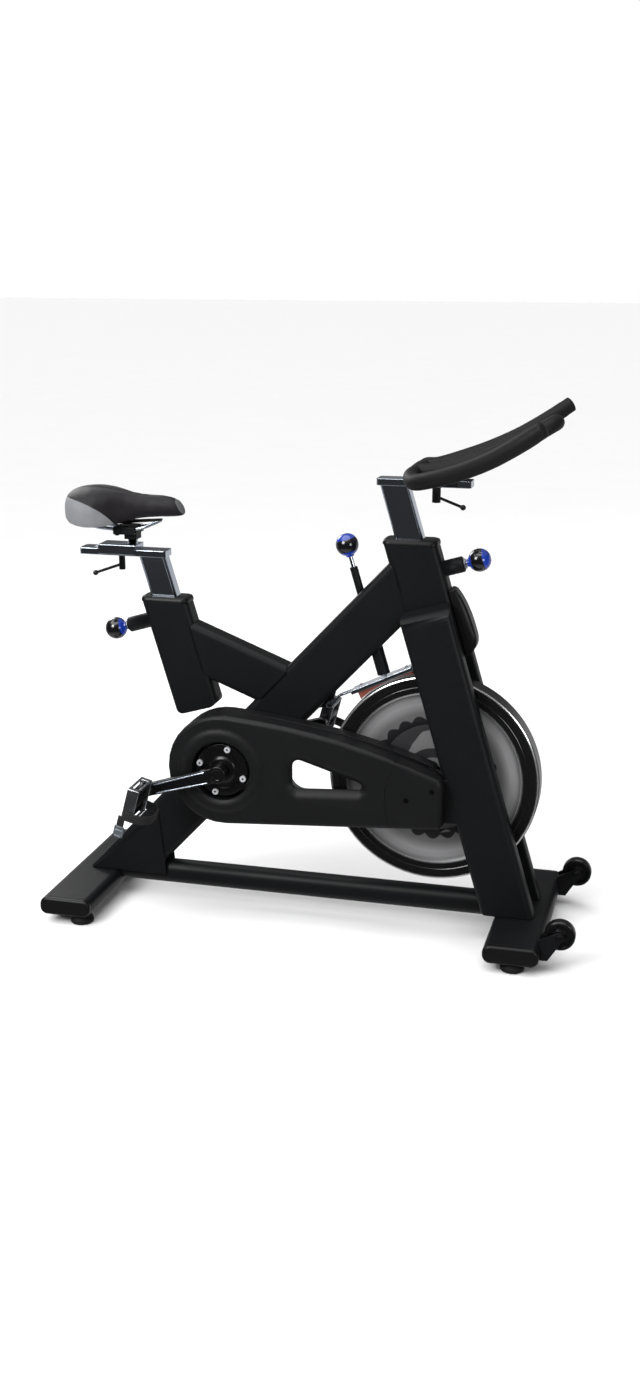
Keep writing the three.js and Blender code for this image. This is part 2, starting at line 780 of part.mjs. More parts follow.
/** The round plate behind the right crank arm, with the heads of the bolts that hold it. */
function crankDisc() {
  const disc = turned(
    [
      [10 + GAP, -107],
      [26, -107],
      [30, -104],
      [DISC.radius - 4, -104],
      [DISC.radius, -101],
      [DISC.radius, -97],
      [10 + GAP, -97],
      [10 + GAP, -107],
    ],
    28,
  );
  const heads = [0, 1, 2, 3].map((quarter) => {
    const angle = DISC.boltAngle + quarter * 0.5 * Math.PI;
    const x = DISC.boltCircle * Math.cos(angle);
    const z = DISC.boltCircle * Math.sin(angle);
    return rod(DISC.boltRadius, -109, -98, 0, 12).translate(x, 0, z);
  });
  return join(disc, ...heads);
}

/** A pedal round its spindle: a body with windows, and a cage plate along each side. */
function pedalBody() {
  const half = PEDAL.width / 2;
  const long = PEDAL.length / 2;
  const high = PEDAL.thick / 2;
  const cage = cut(
    block(-long, long, -half, half, -high, high),
    block(-long + 3, long - 3, -half + 4.6, half - 4.6, -high - 1, high + 1),
    block(-long - 1, long + 1, -half + 14, half - 14, -high + 5, high - 5),
  );
  const core = cut(
    block(-27, 27, -half + 3, half - 3, -10, 10),
    block(-24, -14, -half + 12, half - 12, -11, 11),
    block(14, 24, -half + 12, half - 12, -11, 11),
  );
  return cut(join(cage, core, rod(12, -half, half, 0, 20)), rod(7 + GAP, -90, 90, 0, 20));
}

/** The webbing strap that arches over the pedal, with the buckle on its outer end. */
function toeStrap() {
  const half = PEDAL.width / 2 + GAP;
  const top = PEDAL.thick / 2 + 34;
  const outline = new THREE.Shape();
  outline.moveTo(half, -8);
  outline.lineTo(half + 2.4, -8);
  outline.quadraticCurveTo(half + 8, top + 2.4, half - 24, top + 2.4);
  outline.lineTo(24 - half, top + 2.4);
  outline.quadraticCurveTo(-half - 8, top + 2.4, -half - 2.4, -8);
  outline.lineTo(-half, -8);
  outline.quadraticCurveTo(-half - 5.6, top, 24 - half, top);
  outline.lineTo(half - 24, top);
  outline.quadraticCurveTo(half + 5.6, top, half, -8);
  return join(frontSlab(outline, 14, 34), block(11, 37, -half - 6, -half, -24, 0));
}

function pedal(name, side, x, z) {
  const shapes = [pedalBody(), toeStrap()].map((shape) => (side < 0 ? shape : mirrored(shape)));
  return place(x, side * PEDAL.y, z, Math.PI / 2 + PEDAL.lean,
    piece(`pedal_${name}`, shapes[0], steel()),
    piece(`toe_strap_${name}`, shapes[1], foam()),
  );
}

function cranks() {
  const endX = CRANK.length * Math.cos(CRANK.angle);
  const endZ = CRANK.length * Math.sin(CRANK.angle);
  const reach = CRANK.armY + CRANK.armThick - 3;
  const group = new THREE.Group();
  group.add(
    place(0, 0, CRANK.z, -CRANK.angle,
      piece("crank_arm_right", crankArm(), paint()),
      piece("crank_disc", crankDisc(), plastic()),
    ),
    place(0, 0, CRANK.z, Math.PI - CRANK.angle, piece("crank_arm_left", mirrored(crankArm()), paint())),
    place(0, 0, CRANK.z, 0,
      piece("crank_spindle", rod(10, -reach, reach, 0, 18), steel()),
      piece("drive_pulley", pulley(DRIVE_PULLEY.radius, 10 + GAP, 28), steel()),
      piece("crank_bearing_right", rod(20.4, -44, -32, 10 + GAP, 20), steel()),
      piece("crank_bearing_left", rod(20.4, 32, 44, 10 + GAP, 20), steel()),
    ),
    pedal("right", -1, endX, CRANK.z + endZ),
    pedal("left", 1, -endX, CRANK.z - endZ),
    piece("drive_belt", driveBelt(), rubber()),
  );
  return group;
}

/** The heavy flywheel: rim, dished web, hub, and the driven pulley on the hub's right end. */
function flywheelDisc() {
  const { radius, inner, width, hub } = FLYWHEEL;
  const half = width / 2;
  const bore = FLYWHEEL.axle + GAP;
  const side = [
    [bore, -62],
    [16, -62],
    [16, -46],
    [hub, -44],
    [hub, -14],
    [inner - 70, -8],
    [inner - 62, -12],
    [inner - 8, -18],
    [inner, 1 - half],
    [inner + 4, -half],
    [radius - 4, -half],
    [radius, 4 - half],
  ];
  const otherSide = side.slice(3).reverse().map(([r, y]) => [r, -y]);
  const wheel = turned([...side, ...otherSide, [bore, 44], [bore, -62]], 40);
  return join(wheel, pulley(DRIVEN_PULLEY.radius, bore, 18));
}

function flywheel() {
  const nuts = [-LEG.outer - 8, LEG.outer - 0.2].map((y) => rod(13, y, y + 8.2, 0, 6));
  return place(FLYWHEEL.x, 0, FLYWHEEL.z, 0,
    piece("flywheel", flywheelDisc(), steel()),
    piece("flywheel_axle", join(rod(FLYWHEEL.axle, -88, 88, 0, 20), ...nuts), steel()),
  );
}

// ---------------------------------------------------------------- belt guard

/**
 * The guard's side outline: round behind, tapering forward to a square end at X = front, where its
 * top is at Z = top. The whole outline is drawn "inset" inside itself.
 */
function guardOutline(inset, front, top) {
  const radius = GUARD.rear - inset;
  const rise = THREE.MathUtils.degToRad(3.6);
  const corner = 10;
  const end = front - inset;
  const bottomAt = (x) => CRANK.z - radius + x * Math.tan(rise);
  const shape = new THREE.Shape();
  shape.absarc(0, CRANK.z, radius, 0.48 * Math.PI, 1.5 * Math.PI + rise, false);
  shape.lineTo(end - corner, bottomAt(end - corner));
  shape.lineTo(end, bottomAt(end) + corner);
  shape.lineTo(end, top - inset - corner);
  shape.lineTo(end - corner, top - inset + 4);
  shape.quadraticCurveTo(270, 456 - inset, 0.125 * radius, CRANK.z + 0.992 * radius);
  return shape;
}

/** The wedge-shaped window through the guard. */
function windowOutline(grow) {
  const shape = new THREE.Shape();
  const degrees = THREE.MathUtils.degToRad;
  shape.absarc(172, 336, 15 + grow, degrees(180), degrees(266), false);
  shape.absarc(302, 338, 9 + grow, degrees(274), degrees(432), false);
  shape.absarc(172, 371, 15 + grow, degrees(72), degrees(180), false);
  return shape;
}

/** The window's dish on the near side, its hole, and the funnel that opens behind it. */
function windowFunnel(grow) {
  const { near, inner } = GUARD;
  return loft(
    [
      [23, -inner + 6],
      [21, -inner],
      [0, -near + 17],
      [0, -near + 14],
      [9, -near + 6],
      [21, -near],
      [23, -near - 4],
    ].map(([size, y]) =>
      windowOutline(size + grow)
        .getPoints(4)
        .map((point) => ({ x: point.x, y, z: point.y })),
    ),
  );
}

/** A slab across the machine with its outer edge rounded over at y = -near. */
function roundedSlab(shape, near, far, round) {
  const geometry = new THREE.ExtrudeGeometry(shape, {
    depth: near - far,
    bevelThickness: round,
    bevelSize: round,
    bevelOffset: -round,
    bevelSegments: 2,
    curveSegments: 8,
  });
  return geometry.translate(0, 0, far - round).rotateX(Math.PI / 2);
}

/** The guard's outer casing before it is split: hollow, open on its inner side. */
function outerCasing() {
  const { near, split, wall, round } = GUARD;
  const outside = roundedSlab(guardOutline(0, GUARD_FRONT_X, 366), near, split - 20, round);
  const inside = roundedSlab(guardOutline(wall, GUARD_FRONT_X, 366), near - wall, split - 20, round - 2);
  const ring = turned(
    [
      [RECESS, -112],
      [RECESS + 6, -117],
      [RECESS + 16, -118.5],
      [RECESS + 26, -116],
      [RECESS + 34, -110],
      [RECESS + 33, -107.5],
      [RECESS + 3, -107.5],
      [RECESS + 3, -94],
      [RECESS, -94],
      [RECESS, -112],
    ],
    28,
  ).translate(0, 0, CRANK.z);
  const lip = cut(
    windowFunnel(wall),
    block(0, 500, -200, -near + 0.6, 200, 500),
    block(0, 500, -split, 60, 200, 500),
  );
  const hollow = cut(outside, inside, block(-300, 700, -split, 60, 0, 700));
  return cut(
    join(hollow, lip),
    rod(RECESS, -140, -100, 0, 28).translate(0, 0, CRANK.z),
    windowFunnel(0),
  ).add(solid(ring));
}

function guard() {
  const casing = outerCasing();
  const seam = (radius) => rod(radius, -200, 0, 0, 72).translate(SEAM.x, 0, SEAM.z);
  const shell = cut(casing, seam(SEAM.radius), block(SEAM.x, 700, -200, 0, 0, 700));
  const cover = cut(
    casing.intersect(solid(seam(SEAM.radius - GAP))),
    block(470, 700, -LEG.outer - GAP - 1, 0, 0, 700),
  );
  const backFront = 470;
  const y0 = -GUARD.split + GAP;
  const y1 = -GUARD.inner;
  const back = cut(
    join(
      cut(
        slab(guardOutline(0, backFront, 380), y0, y1, 10),
        slab(guardOutline(GUARD.wall, backFront + 20, 371.5), y0 - 5, y1 - GUARD.wall, 10),
      ),
      cut(
        windowFunnel(GUARD.wall),
        block(0, 500, -200, y0, 200, 500),
        block(0, 500, y1, 60, 200, 500),
      ),
    ),
    windowFunnel(0),
    rod(25 + 2, -60, -20, 0, 20).translate(0, 0, CRANK.z),
    rod(FLYWHEEL.hub + 3, -60, -20, 0, 20).translate(FLYWHEEL.x, 0, FLYWHEEL.z),
  );
  const group = new THREE.Group();
  group.add(
    piece("guard_shell", shell, plastic()),
    piece("guard_front_cover", cover, plastic()),
    piece("guard_back", back, plastic()),
  );
  return group;
}

// ---------------------------------------------------------------- brake

/** The spring arm: a plate over the flywheel on two thin bars from the pivot. */
function brakeArm() {
  const { from, to, lift, thick } = BRAKE_ARM;
  const outline = polygon([
    [-3, -4],
    [4, -6],
    [30, lift],
    [from + 12, lift],
    [from + 12, lift + 4],
    [28, lift + 4],
    [0, 6],
  ]);
  const bars = [-8, 8].flatMap((y) => [slab(outline, y - 2, y + 2), rod(8, y - 2, y + 2, 0, 16)]);
  const plate = [
    block(from, to, -21, 21, lift, lift + thick),
    block(from, to, -21, -18, lift - 4, lift + thick),
    block(from, to, 18, 21, lift - 4, lift + thick),
  ];
  return cut(join(...plate, ...bars), rod(BRAKE_PIVOT.pin + GAP, -20, 20, 0, 16));
}

/** The felt pad under the arm, hollowed so that it meets the flywheel when pressed. */
function brakePad() {
  const { from, to, lift, slope } = BRAKE_ARM;
  const centre = new THREE.Vector3(FLYWHEEL.x - BRAKE_PIVOT.x, 0, FLYWHEEL.z - BRAKE_PIVOT.z);
  centre.applyAxisAngle(new THREE.Vector3(0, 1, 0), -slope - BRAKE_PRESS);
  const rim = rod(FLYWHEEL.radius + PAD_GAP, -40, 40, 0, 96);
  return cut(
    block(from + 14, to - 2, -17.4, 17.4, lift - 26, lift - GAP),
    rim.translate(centre.x, 0, centre.z),
  );
}

function brakeRod() {
  const { radius, tip, blockEnd } = BRAKE_ROD;
  return upright(
    turned(
      [
        [0, -tip],
        [5, -tip],
        [7, 2 - tip],
        [7, -blockEnd - GAP],
        [radius, -blockEnd - GAP],
        [radius, -8],
        [0, -8],
      ],
      16,
    ),
  );
}

function brake() {
  const knobBore = upright(rod(BRAKE_ROD.radius + GAP, -40, GAP - 8, 0, 16));
  const group = new THREE.Group();
  group.add(
    place(BRAKE_ROD.x, 0, BRAKE_ROD.z, -TILT,
      piece("brake_rod", brakeRod(), steel()),
      piece("brake_knob", cut(upright(ball(BRAKE_ROD.knob)), knobBore), plastic()),
      piece("brake_rod_sleeve", brakeSleeve(0, BRAKE_ROD.radius + GAP), paint()),
    ),
    place(BRAKE_PIVOT.x, 0, BRAKE_PIVOT.z, BRAKE_ARM.slope,
      piece("brake_arm", brakeArm(), chrome()),
      piece("brake_pad", brakePad(), finish(0x5c2a22, 0.95, 0)),
    ),
  );
  return group;
}

// ---------------------------------------------------------------- saddle and handlebar supports

/** A post in its leaning tube, holes for the spring pin down one face, welded under a slotted rail. */
function postWithRail(x, z, rail, inside, pin) {
  const { rear, front, bottom, height, width, slot } = rail;
  const half = width / 2;
  const top = prism(
    new THREE.Shape(
      [
        [rear + 4, -half],
        [front - 4, -half],
        [front, 4 - half],
        [front, half - 4],
        [front - 4, half],
        [rear + 4, half],
        [rear, half - 4],
        [rear, 4 - half],
      ].map(([u, v]) => new THREE.Vector2(u, v)),
    ),
    bottom,
    bottom + height,
  );
  const holes = [-120, -80, -40, 0].map((step) => pinHole(PIN.shaft + 1, { ...pin, z: pin.z + step }));
  const post = cut(bar(POST, -inside, 200), bar(bore(POST, 2.5), -inside - 1, 201), ...holes);
  const level = block(x - 300, x + 300, -60, 60, bottom + 2, bottom + 400);
  const welded = cut(geometryOf(post).applyMatrix4(placing(x, 0, z, -TILT)), level);
  return join(cut(top, block(...slot, -4.6, 4.6, bottom - 1, bottom + height + 1)), welded);
}

/** A clamp under a rail: a bolt up to the carriage, a barrel, and a thin lever with a ball end. */
function clampLever(name, { bolt, barrel, turn, reach }, rail) {
  const under = rail.bottom - GAP;
  const start = new THREE.Vector3(0, 0, -22);
  const end = new THREE.Vector3(reach, 0, -37);
  const lever = join(
    tube(new THREE.LineCurve3(start, end), 3.2, 1, 8),
    ball(6, 12).translate(end.x, 0, end.z),
    upright(rod(barrel, -34, -3, 0, 20)),
    upright(rod(barrel + 2, -3, 0, 0, 20)),
    upright(rod(4, -1, rail.height + 3, 0, 12)),
  );
  return place(bolt, 0, under, 0, piece(name, geometryOf(lever).rotateZ(turn), plastic()));
}

/** Carriage that rides on a rail: a top plate with a lip down each side. */
function carriage(rear, front, railShape, top, lip) {
  const { bottom, height, width } = railShape;
  const side = width / 2 + GAP;
  const over = bottom + height + GAP;
  return join(
    block(rear, front, -side - lip, side + lip, over, top),
    block(rear, front, side, side + lip, bottom + 3, over + 1),
    block(rear, front, -side - lip, -side, bottom + 3, over + 1),
  );
}

/** A closed skin through rings of the same number of points, ended by flat fans. */
function loft(rings) {
  const count = rings[0].length;
  const positions = rings.flat().flatMap(({ x, y, z }) => [x, y, z]);
  const index = [];
  for (let ring = 0; ring + 1 < rings.length; ring += 1) {
    for (let k = 0; k < count; k += 1) {
      const a = ring * count + k;
      const b = ring * count + ((k + 1) % count);
      index.push(a, b, a + count, b, b + count, a + count);
    }
  }
  const last = (rings.length - 1) * count;
  for (let k = 1; k + 1 < count; k += 1) {
    index.push(0, k + 1, k, last, last + k, last + k + 1);
  }
  const geometry = new THREE.BufferGeometry();
  geometry.setAttribute("position", new THREE.Float32BufferAttribute(positions, 3));
  geometry.setIndex(index);
  return geometry;
}

/** One cross-section of the saddle: [x, half width, top, bottom, height of the hollow underneath]. */
function saddleRing([x, half, top, bottom, hollow = 0]) {
  const points = [];
  const sides = 16;
  for (let k = 0; k < sides; k += 1) {
    const angle = (k / sides) * 2 * Math.PI;
    const c = Math.cos(angle);
    const s = Math.sin(angle);
    const squareness = s < 0 && hollow > 0 ? 0.5 : 0.7;
    const y = half * Math.sign(c) * Math.abs(c) ** squareness;
    const lift = Math.sign(s) * Math.abs(s) ** squareness;
    const rise = s < 0 ? hollow * Math.min(1, Math.max(0, 1.5 * (1 - Math.abs(y) / half))) : 0;
    points.push({ x, y, z: (top + bottom) / 2 + ((top - bottom) / 2) * lift + rise });
  }
  return points;
}

function saddlePad() {
  const { rear, nose, halfWidth } = SADDLE;
  return loft(
    [
      [rear, 0.4 * halfWidth, 931, 890],
      [rear + 10, 0.76 * halfWidth, 940, 868, 10],
      [rear + 34, 0.97 * halfWidth, 945, 853, 24],
      [rear + 68, halfWidth, 945, 847, 34],
      [rear + 100, 0.84 * halfWidth, 941, 849, 34],
      [rear + 138, 0.5 * halfWidth, 935, 866, 18],
      [rear + 180, 0.29 * halfWidth, 932, 881, 4],
      [rear + 225, 0.24 * halfWidth, 930, 885],
      [nose - 9, 0.2 * halfWidth, 924, 887],
      [nose, 0.11 * halfWidth, 909, 890],
    ].map(saddleRing),
  );
}

/** The hard base under the pad. */
function saddleBase() {
  const { rear, halfWidth } = SADDLE;
  return loft(
    [
      [rear + 24, 0.26 * halfWidth, 872, 866],
      [rear + 50, 0.34 * halfWidth, 872.5, 865.5],
      [rear + 95, 0.3 * halfWidth, 874, 866],
      [rear + 142, 0.16 * halfWidth, 875, 869],
      [rear + 207, 0.1 * halfWidth, 880, 875],
    ].map(saddleRing),
  );
}

/** The hard base under the pad and the two steel wires it is held by. */
function saddleFrame() {
  const wires = [-1, 1].map((side) => {
    const y = side * 20;
    const path = new THREE.CatmullRomCurve3([
      new THREE.Vector3(SADDLE.rear + 46, y * 1.15, 868),
      new THREE.Vector3(SADDLE.rear + 60, y * 1.1, 861),
      new THREE.Vector3(SADDLE.rear + 90, y, 857),
      new THREE.Vector3(SADDLE_STEM.x, y, 856),
      new THREE.Vector3(SADDLE.rear + 172, y, 862),
      new THREE.Vector3(SADDLE.rear + 203, y * 0.45, 874),
    ]);
    return tube(path, 3.5, 12, 6);
  });
  return join(saddleBase(), ...wires);
}

/** The clamp on top of the stem, with a channel for each wire. */
function saddleClamp() {
  const { x, top, radius } = SADDLE_STEM;
  const body = join(
    block(x - 34, x + 14, -30, 30, top + GAP, 862),
    block(x - 14, x + 14, -15, 15, top - 12, top + 1),
    rod(8, -33, 33, 0, 16).translate(x - 24, 0, 852),
  );
  const channels = [-20, 20].map((y) => block(x - 60, x + 60, y - 5, y + 5, 849, 880));
  return cut(body, ...channels, upright(rod(radius + GAP, 800, top, 0, 20)).translate(x, 0, 0));
}

function saddleGroup() {
  const { rear, front, top } = SEAT_CARRIAGE;
  const boltHole = upright(rod(4 + GAP, 780, top - 3, 0, 12)).translate(SEAT_LEVER.bolt, 0, 0);
  const stem = upright(rod(SADDLE_STEM.radius, top - 1, SADDLE_STEM.top - GAP, 0, 20));
  const carriageShape = cut(carriage(rear, front, SEAT_RAIL, top, 4), boltHole);
  const group = new THREE.Group();
  group.add(
    piece("seat_post", postWithRail(SEAT_TUBE.x, SEAT_TUBE.z, SEAT_RAIL, 165, SEAT_PIN), chrome()),
    piece("seat_carriage", join(carriageShape, stem.translate(SADDLE_STEM.x, 0, 0)), chrome()),
    clampLever("seat_clamp_lever", SEAT_LEVER, SEAT_RAIL),
    piece("saddle_clamp", saddleClamp(), paint()),
    piece("saddle_frame", saddleFrame(), plastic()),
    piece("saddle_pad", saddlePad(), foam()),
  );
  return group;
}

/** Half of the bullhorn bar from the middle of the crossbar to the tip, for side +1 or -1. */
function hornPoints(side) {
  return [
    [408, 45, 1007],
    [407, 92, 1005],
    [422, 134, 1000],
    [462, 165, 1010],
    [526, 197, 1032],
    [589, 225, 1061],
    [650, 246, 1098],
    [692, 255, 1127],
  ].map(([x, y, z]) => new THREE.Vector3(x, side * y, z));
}

/** The inner bar: forward from the crossbar on each side and round in front. */
function innerBar() {
  const half = (side) =>
    [
      [408, 46, 1007],
      [470, 47, 1016],
      [535, 47, 1036],
      [600, 46, 1064],
      [652, 42, 1092],
      [680, 26, 1108],
    ].map(([x, y, z]) => new THREE.Vector3(x, side * y, z));
  return new THREE.CatmullRomCurve3([
    ...half(-1),
    new THREE.Vector3(688, 0, 1112),
    ...half(1).reverse(),
  ]);
}

function handlebar() {
  const horn = new THREE.CatmullRomCurve3([
    ...hornPoints(-1).reverse(),
    new THREE.Vector3(408, 0, 1007),
    ...hornPoints(1),
  ]);
  const tips = hornPoints(1).slice(-1).flatMap((tip) => [tip, tip.clone().setY(-tip.y)]);
  return join(
    tube(horn, BAR_RADIUS, 26, 10),
    tube(innerBar(), BAR_RADIUS - 1, 20, 10),
    ...tips.map((tip) => ball(BAR_RADIUS - 0.5, 10).translate(tip.x, tip.y, tip.z)),
  );
}

/** The carriage under the bar: it rides on the rail and has a cradle for each inner bar. */
function barCarriage() {
  const { rear, front, top } = BAR_CARRIAGE;
  const body = join(
    carriage(rear, front, BAR_RAIL, 994, 4),
    block(rear, front, -44, 44, 990, top),
  );
  const boltHole = upright(rod(4 + GAP, 940, 994, 0, 12)).translate(BAR_LEVER.bolt, 0, 0);
  return cut(body, boltHole, tube(innerBar(), BAR_RADIUS, 20, 10));
}

function handlebarGroup() {
  const group = new THREE.Group();
  group.add(
    piece("handlebar_post", postWithRail(HEAD_TUBE.x, HEAD_TUBE.z, BAR_RAIL, 160, BAR_PIN), chrome()),
    piece("handlebar_carriage", barCarriage(), plastic()),
    clampLever("handlebar_clamp_lever", BAR_LEVER, BAR_RAIL),
    piece("handlebar", handlebar(), foam()),
  );
  return group;
}

// ---------------------------------------------------------------- assembly

const bike = new THREE.Group();
bike.position.x = -BOX_MIDDLE_X;
bike.add(base(), frame(), cranks(), flywheel(), guard(), brake(), saddleGroup(), handlebarGroup());

const exported = new THREE.Group();
exported.add(bike);
export default exported;
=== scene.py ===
"""Looks of an indoor exercise cycle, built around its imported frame.

Sizes are millimetres from the crank axis along X, from the middle plane along Y and from the floor
along Z. The workshop turns them into metres in the row frame when a piece is finished.
"""

from __future__ import annotations

import json
import logging
import math
from dataclasses import dataclass, field
from enum import Enum
from typing import Sequence

import bmesh
import bpy
import numpy as np
from mathutils import Matrix, Vector

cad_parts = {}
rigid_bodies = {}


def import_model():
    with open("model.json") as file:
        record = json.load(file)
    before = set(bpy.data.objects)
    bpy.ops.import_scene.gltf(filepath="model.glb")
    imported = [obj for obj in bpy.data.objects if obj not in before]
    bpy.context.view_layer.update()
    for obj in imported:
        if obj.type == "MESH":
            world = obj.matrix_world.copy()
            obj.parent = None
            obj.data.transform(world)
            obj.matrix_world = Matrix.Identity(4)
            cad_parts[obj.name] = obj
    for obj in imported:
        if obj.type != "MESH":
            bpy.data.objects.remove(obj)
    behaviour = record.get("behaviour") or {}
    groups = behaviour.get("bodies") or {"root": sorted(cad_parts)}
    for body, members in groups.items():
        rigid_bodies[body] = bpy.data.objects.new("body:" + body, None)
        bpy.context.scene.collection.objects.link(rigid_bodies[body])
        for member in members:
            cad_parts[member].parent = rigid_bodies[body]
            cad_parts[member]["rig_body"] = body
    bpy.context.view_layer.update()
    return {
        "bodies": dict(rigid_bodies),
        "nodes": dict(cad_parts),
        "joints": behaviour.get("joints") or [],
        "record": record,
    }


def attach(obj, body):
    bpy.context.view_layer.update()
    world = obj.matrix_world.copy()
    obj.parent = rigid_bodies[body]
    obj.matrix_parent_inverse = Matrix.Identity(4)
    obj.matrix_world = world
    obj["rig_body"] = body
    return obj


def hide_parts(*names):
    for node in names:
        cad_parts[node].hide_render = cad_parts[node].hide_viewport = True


LOG = logging.getLogger("exercise_cycle")
ORIGIN_X = 196.75
TILT = math.radians(16.6)
TUBE_AXIS = Vector((-math.sin(TILT), 0.0, math.cos(TILT)))
TUBE_FORWARD = Vector((math.cos(TILT), 0.0, math.sin(TILT)))

ACROSS = Vector((0.0, 1.0, 0.0))
TO_METRES = Matrix.Diagonal((0.001, 0.001, 0.001, 1.0)) @ Matrix.Translation((-ORIGIN_X, 0, 0))

CRANK_HEIGHT = 351.0
CRANK_LENGTH = 170.0
CRANK_ANGLE = math.radians(197.0)
FLYWHEEL_CENTRE = (452.0, 0.0, 342.5)
FLYWHEEL_RADIUS = 230.0
SEAT_PIN = Vector((-154.5, 0, 706)) - 39 * TUBE_AXIS
BAR_PIN = Vector((391, 0, 857)) - 74 * TUBE_AXIS
SADDLE_REAR = -370.0
SADDLE_NOSE = -103.0

Point = tuple[float, float, float]
Colour = tuple[float, float, float]
Shape = bmesh.types.BMesh
Socket = bpy.types.NodeSocket


class Body(Enum):
    """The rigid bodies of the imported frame."""

    FRAME = "frame"
    CRANKS = "cranks"
    FLYWHEEL = "flywheel"
    RIGHT_PEDAL = "right_pedal"
    LEFT_PEDAL = "left_pedal"
    RIGHT_WHEEL = "right_wheel"
    LEFT_WHEEL = "left_wheel"
    BRAKE_PLUNGER = "brake_plunger"
    BRAKE_DIAL = "brake_dial"
    BRAKE_ARM = "brake_spring_arm"
    SEAT_PIN = "seat_pull_pin"
    BAR_PIN = "handlebar_pull_pin"
    SEAT_MAST = "seat_mast"
    SEAT_SLIDER = "seat_slider"
    SEAT_LEVER = "seat_lever"
    SADDLE = "saddle"
    BAR_MAST = "handlebar_mast"
    BAR_SLIDER = "handlebar_slider"
    BAR_LEVER = "handlebar_lever"


def metres(point: Sequence[float]) -> Vector:
    """A point in crank-centred millimetres as a point of the row frame in metres."""
    return Vector(((point[0] - ORIGIN_X) / 1000, point[1] / 1000, point[2] / 1000))


# ---------------------------------------------------------------- shapes


def smooth_path(points: Sequence[Point], steps: int) -> list[Vector]:
    """A smooth curve through the points."""
    knots = [Vector(p) for p in points]
    knots = [2 * knots[0] - knots[1], *knots, 2 * knots[-1] - knots[-2]]
    path: list[Vector] = []
    for k in range(1, len(knots) - 2):
        a, b, c, d = knots[k - 1 : k + 3]
        t1 = max((b - a).length, 1e-6) ** 0.5
        t2 = t1 + max((c - b).length, 1e-6) ** 0.5
        t3 = t2 + max((d - c).length, 1e-6) ** 0.5
        for step in range(steps):
            t = t1 + (t2 - t1) * step / steps
            ab = a.lerp(b, t / t1)
            bc = b.lerp(c, (t - t1) / (t2 - t1))
            cd = c.lerp(d, (t - t2) / (t3 - t2))
            abc = ab.lerp(bc, t / t2)
            bcd = bc.lerp(cd, (t - t1) / (t3 - t1))
            path.append(abc.lerp(bcd, (t - t1) / (t2 - t1)))
    path.append(knots[-2])
    return path


def sweep(path: Sequence[Vector], radii: Sequence[float], sides: int = 24, dome: float = 0.35) -> Shape:
    """A round bar along a path, closed by a flattened dome at each end.

    Args:
        path: the middle line.
        radii: the radius at each point of the path.
        sides: faces round the bar.
        dome: how far each dome stands out, as a share of the radius.

    Returns:
        The bar's mesh.
    """
    points = list(path)
    sizes = list(radii)
    for end, step in ((0, -1), (-1, 1)):
        inner = points[end]
        out = (points[end] - points[end - step]).normalized()
        radius = sizes[end]
        turns = (0.25, 0.5, 0.75, 1.0, 1.2, 1.35)
        domes = [(inner + out * radius * dome * math.sin(t), radius * math.cos(t)) for t in turns]
        if step < 0:
            points[:0] = [p for p, _ in reversed(domes)]
            sizes[:0] = [r for _, r in reversed(domes)]
        else:
            points.extend(p for p, _ in domes)
            sizes.extend(r for _, r in domes)
    bm = bmesh.new()
    direction = (points[1] - points[0]).normalized()
    side = direction.orthogonal().normalized()
    rings: list[list[bmesh.types.BMVert]] = []
    for index, (centre, radius) in enumerate(zip(points, sizes)):
        ahead = points[min(index + 1, len(points) - 1)]
        behind = points[max(index - 1, 0)]
        heading = (ahead - behind).normalized()
        side = (side - heading * side.dot(heading)).normalized()
        up = heading.cross(side)
        rings.append(
            [
                bm.verts.new(centre + radius * (side * math.cos(a) + up * math.sin(a)))
                for a in (2 * math.pi * k / sides for k in range(sides))
            ]
        )
    skin(bm, rings)
    return bm


def skin(bm: Shape, rings: Sequence[Sequence[bmesh.types.BMVert]]) -> None:
    """Joins rings of vertices with faces and closes both ends."""
    count = len(rings[0])
    for low, high in zip(rings, rings[1:]):
        for k in range(count):
            bm.faces.new((low[k], low[(k + 1) % count], high[(k + 1) % count], high[k]))
    bm.faces.new(list(reversed(rings[0])))
    bm.faces.new(list(rings[-1]))
    bmesh.ops.recalc_face_normals(bm, faces=bm.faces)


def lathe(profile: Sequence[tuple[float, float]], centre: Point, axis: Vector, segments: int = 64) -> Shape:
    """A turned shape.

    Args:
        profile: (radius, distance along the axis) corners, open ends lying on the axis, or a ring.
        centre: where distance 0 is on the axis.
        axis: the direction of the axis.
        segments: faces round the axis.

    Returns:
        The turned mesh.
    """
    bm = bmesh.new()
    along = axis.normalized()
    side = along.orthogonal().normalized()
    other = along.cross(side)
    origin = Vector(centre)
    ring_shape = profile[0][0] > 0 and profile[-1][0] > 0
    corners = list(profile) + ([profile[0]] if ring_shape else [])
    rows = [
        [
            bm.verts.new(origin + along * distance + radius * (side * math.cos(a) + other * math.sin(a)))
            for a in (2 * math.pi * k / segments for k in range(segments))
        ]
        for radius, distance in corners
    ]
    for low, high in zip(rows, rows[1:]):
        for k in range(segments):
            bm.faces.new((low[k], low[(k + 1) % segments], high[(k + 1) % segments], high[k]))
    bmesh.ops.remove_doubles(bm, verts=bm.verts, dist=1e-3)
    bmesh.ops.dissolve_degenerate(bm, edges=bm.edges, dist=1e-4)
    bmesh.ops.recalc_face_normals(bm, faces=bm.faces)
    return bm


def rounded_box(low: Point, high: Point, edge: float) -> Shape:
    """A box between two corners with every edge rounded to the given radius."""
    bm = bmesh.new()
    size = Vector(high) - Vector(low)
    middle = (Vector(high) + Vector(low)) / 2
    bmesh.ops.create_cube(bm, size=1.0)
    bmesh.ops.transform(bm, matrix=Matrix.LocRotScale(middle, None, size), verts=bm.verts)
    if edge > 0:
        bmesh.ops.bevel(
            bm, geom=bm.edges[:], offset=edge, segments=3, profile=0.5, affect="EDGES", clamp_overlap=True
        )
    return bm


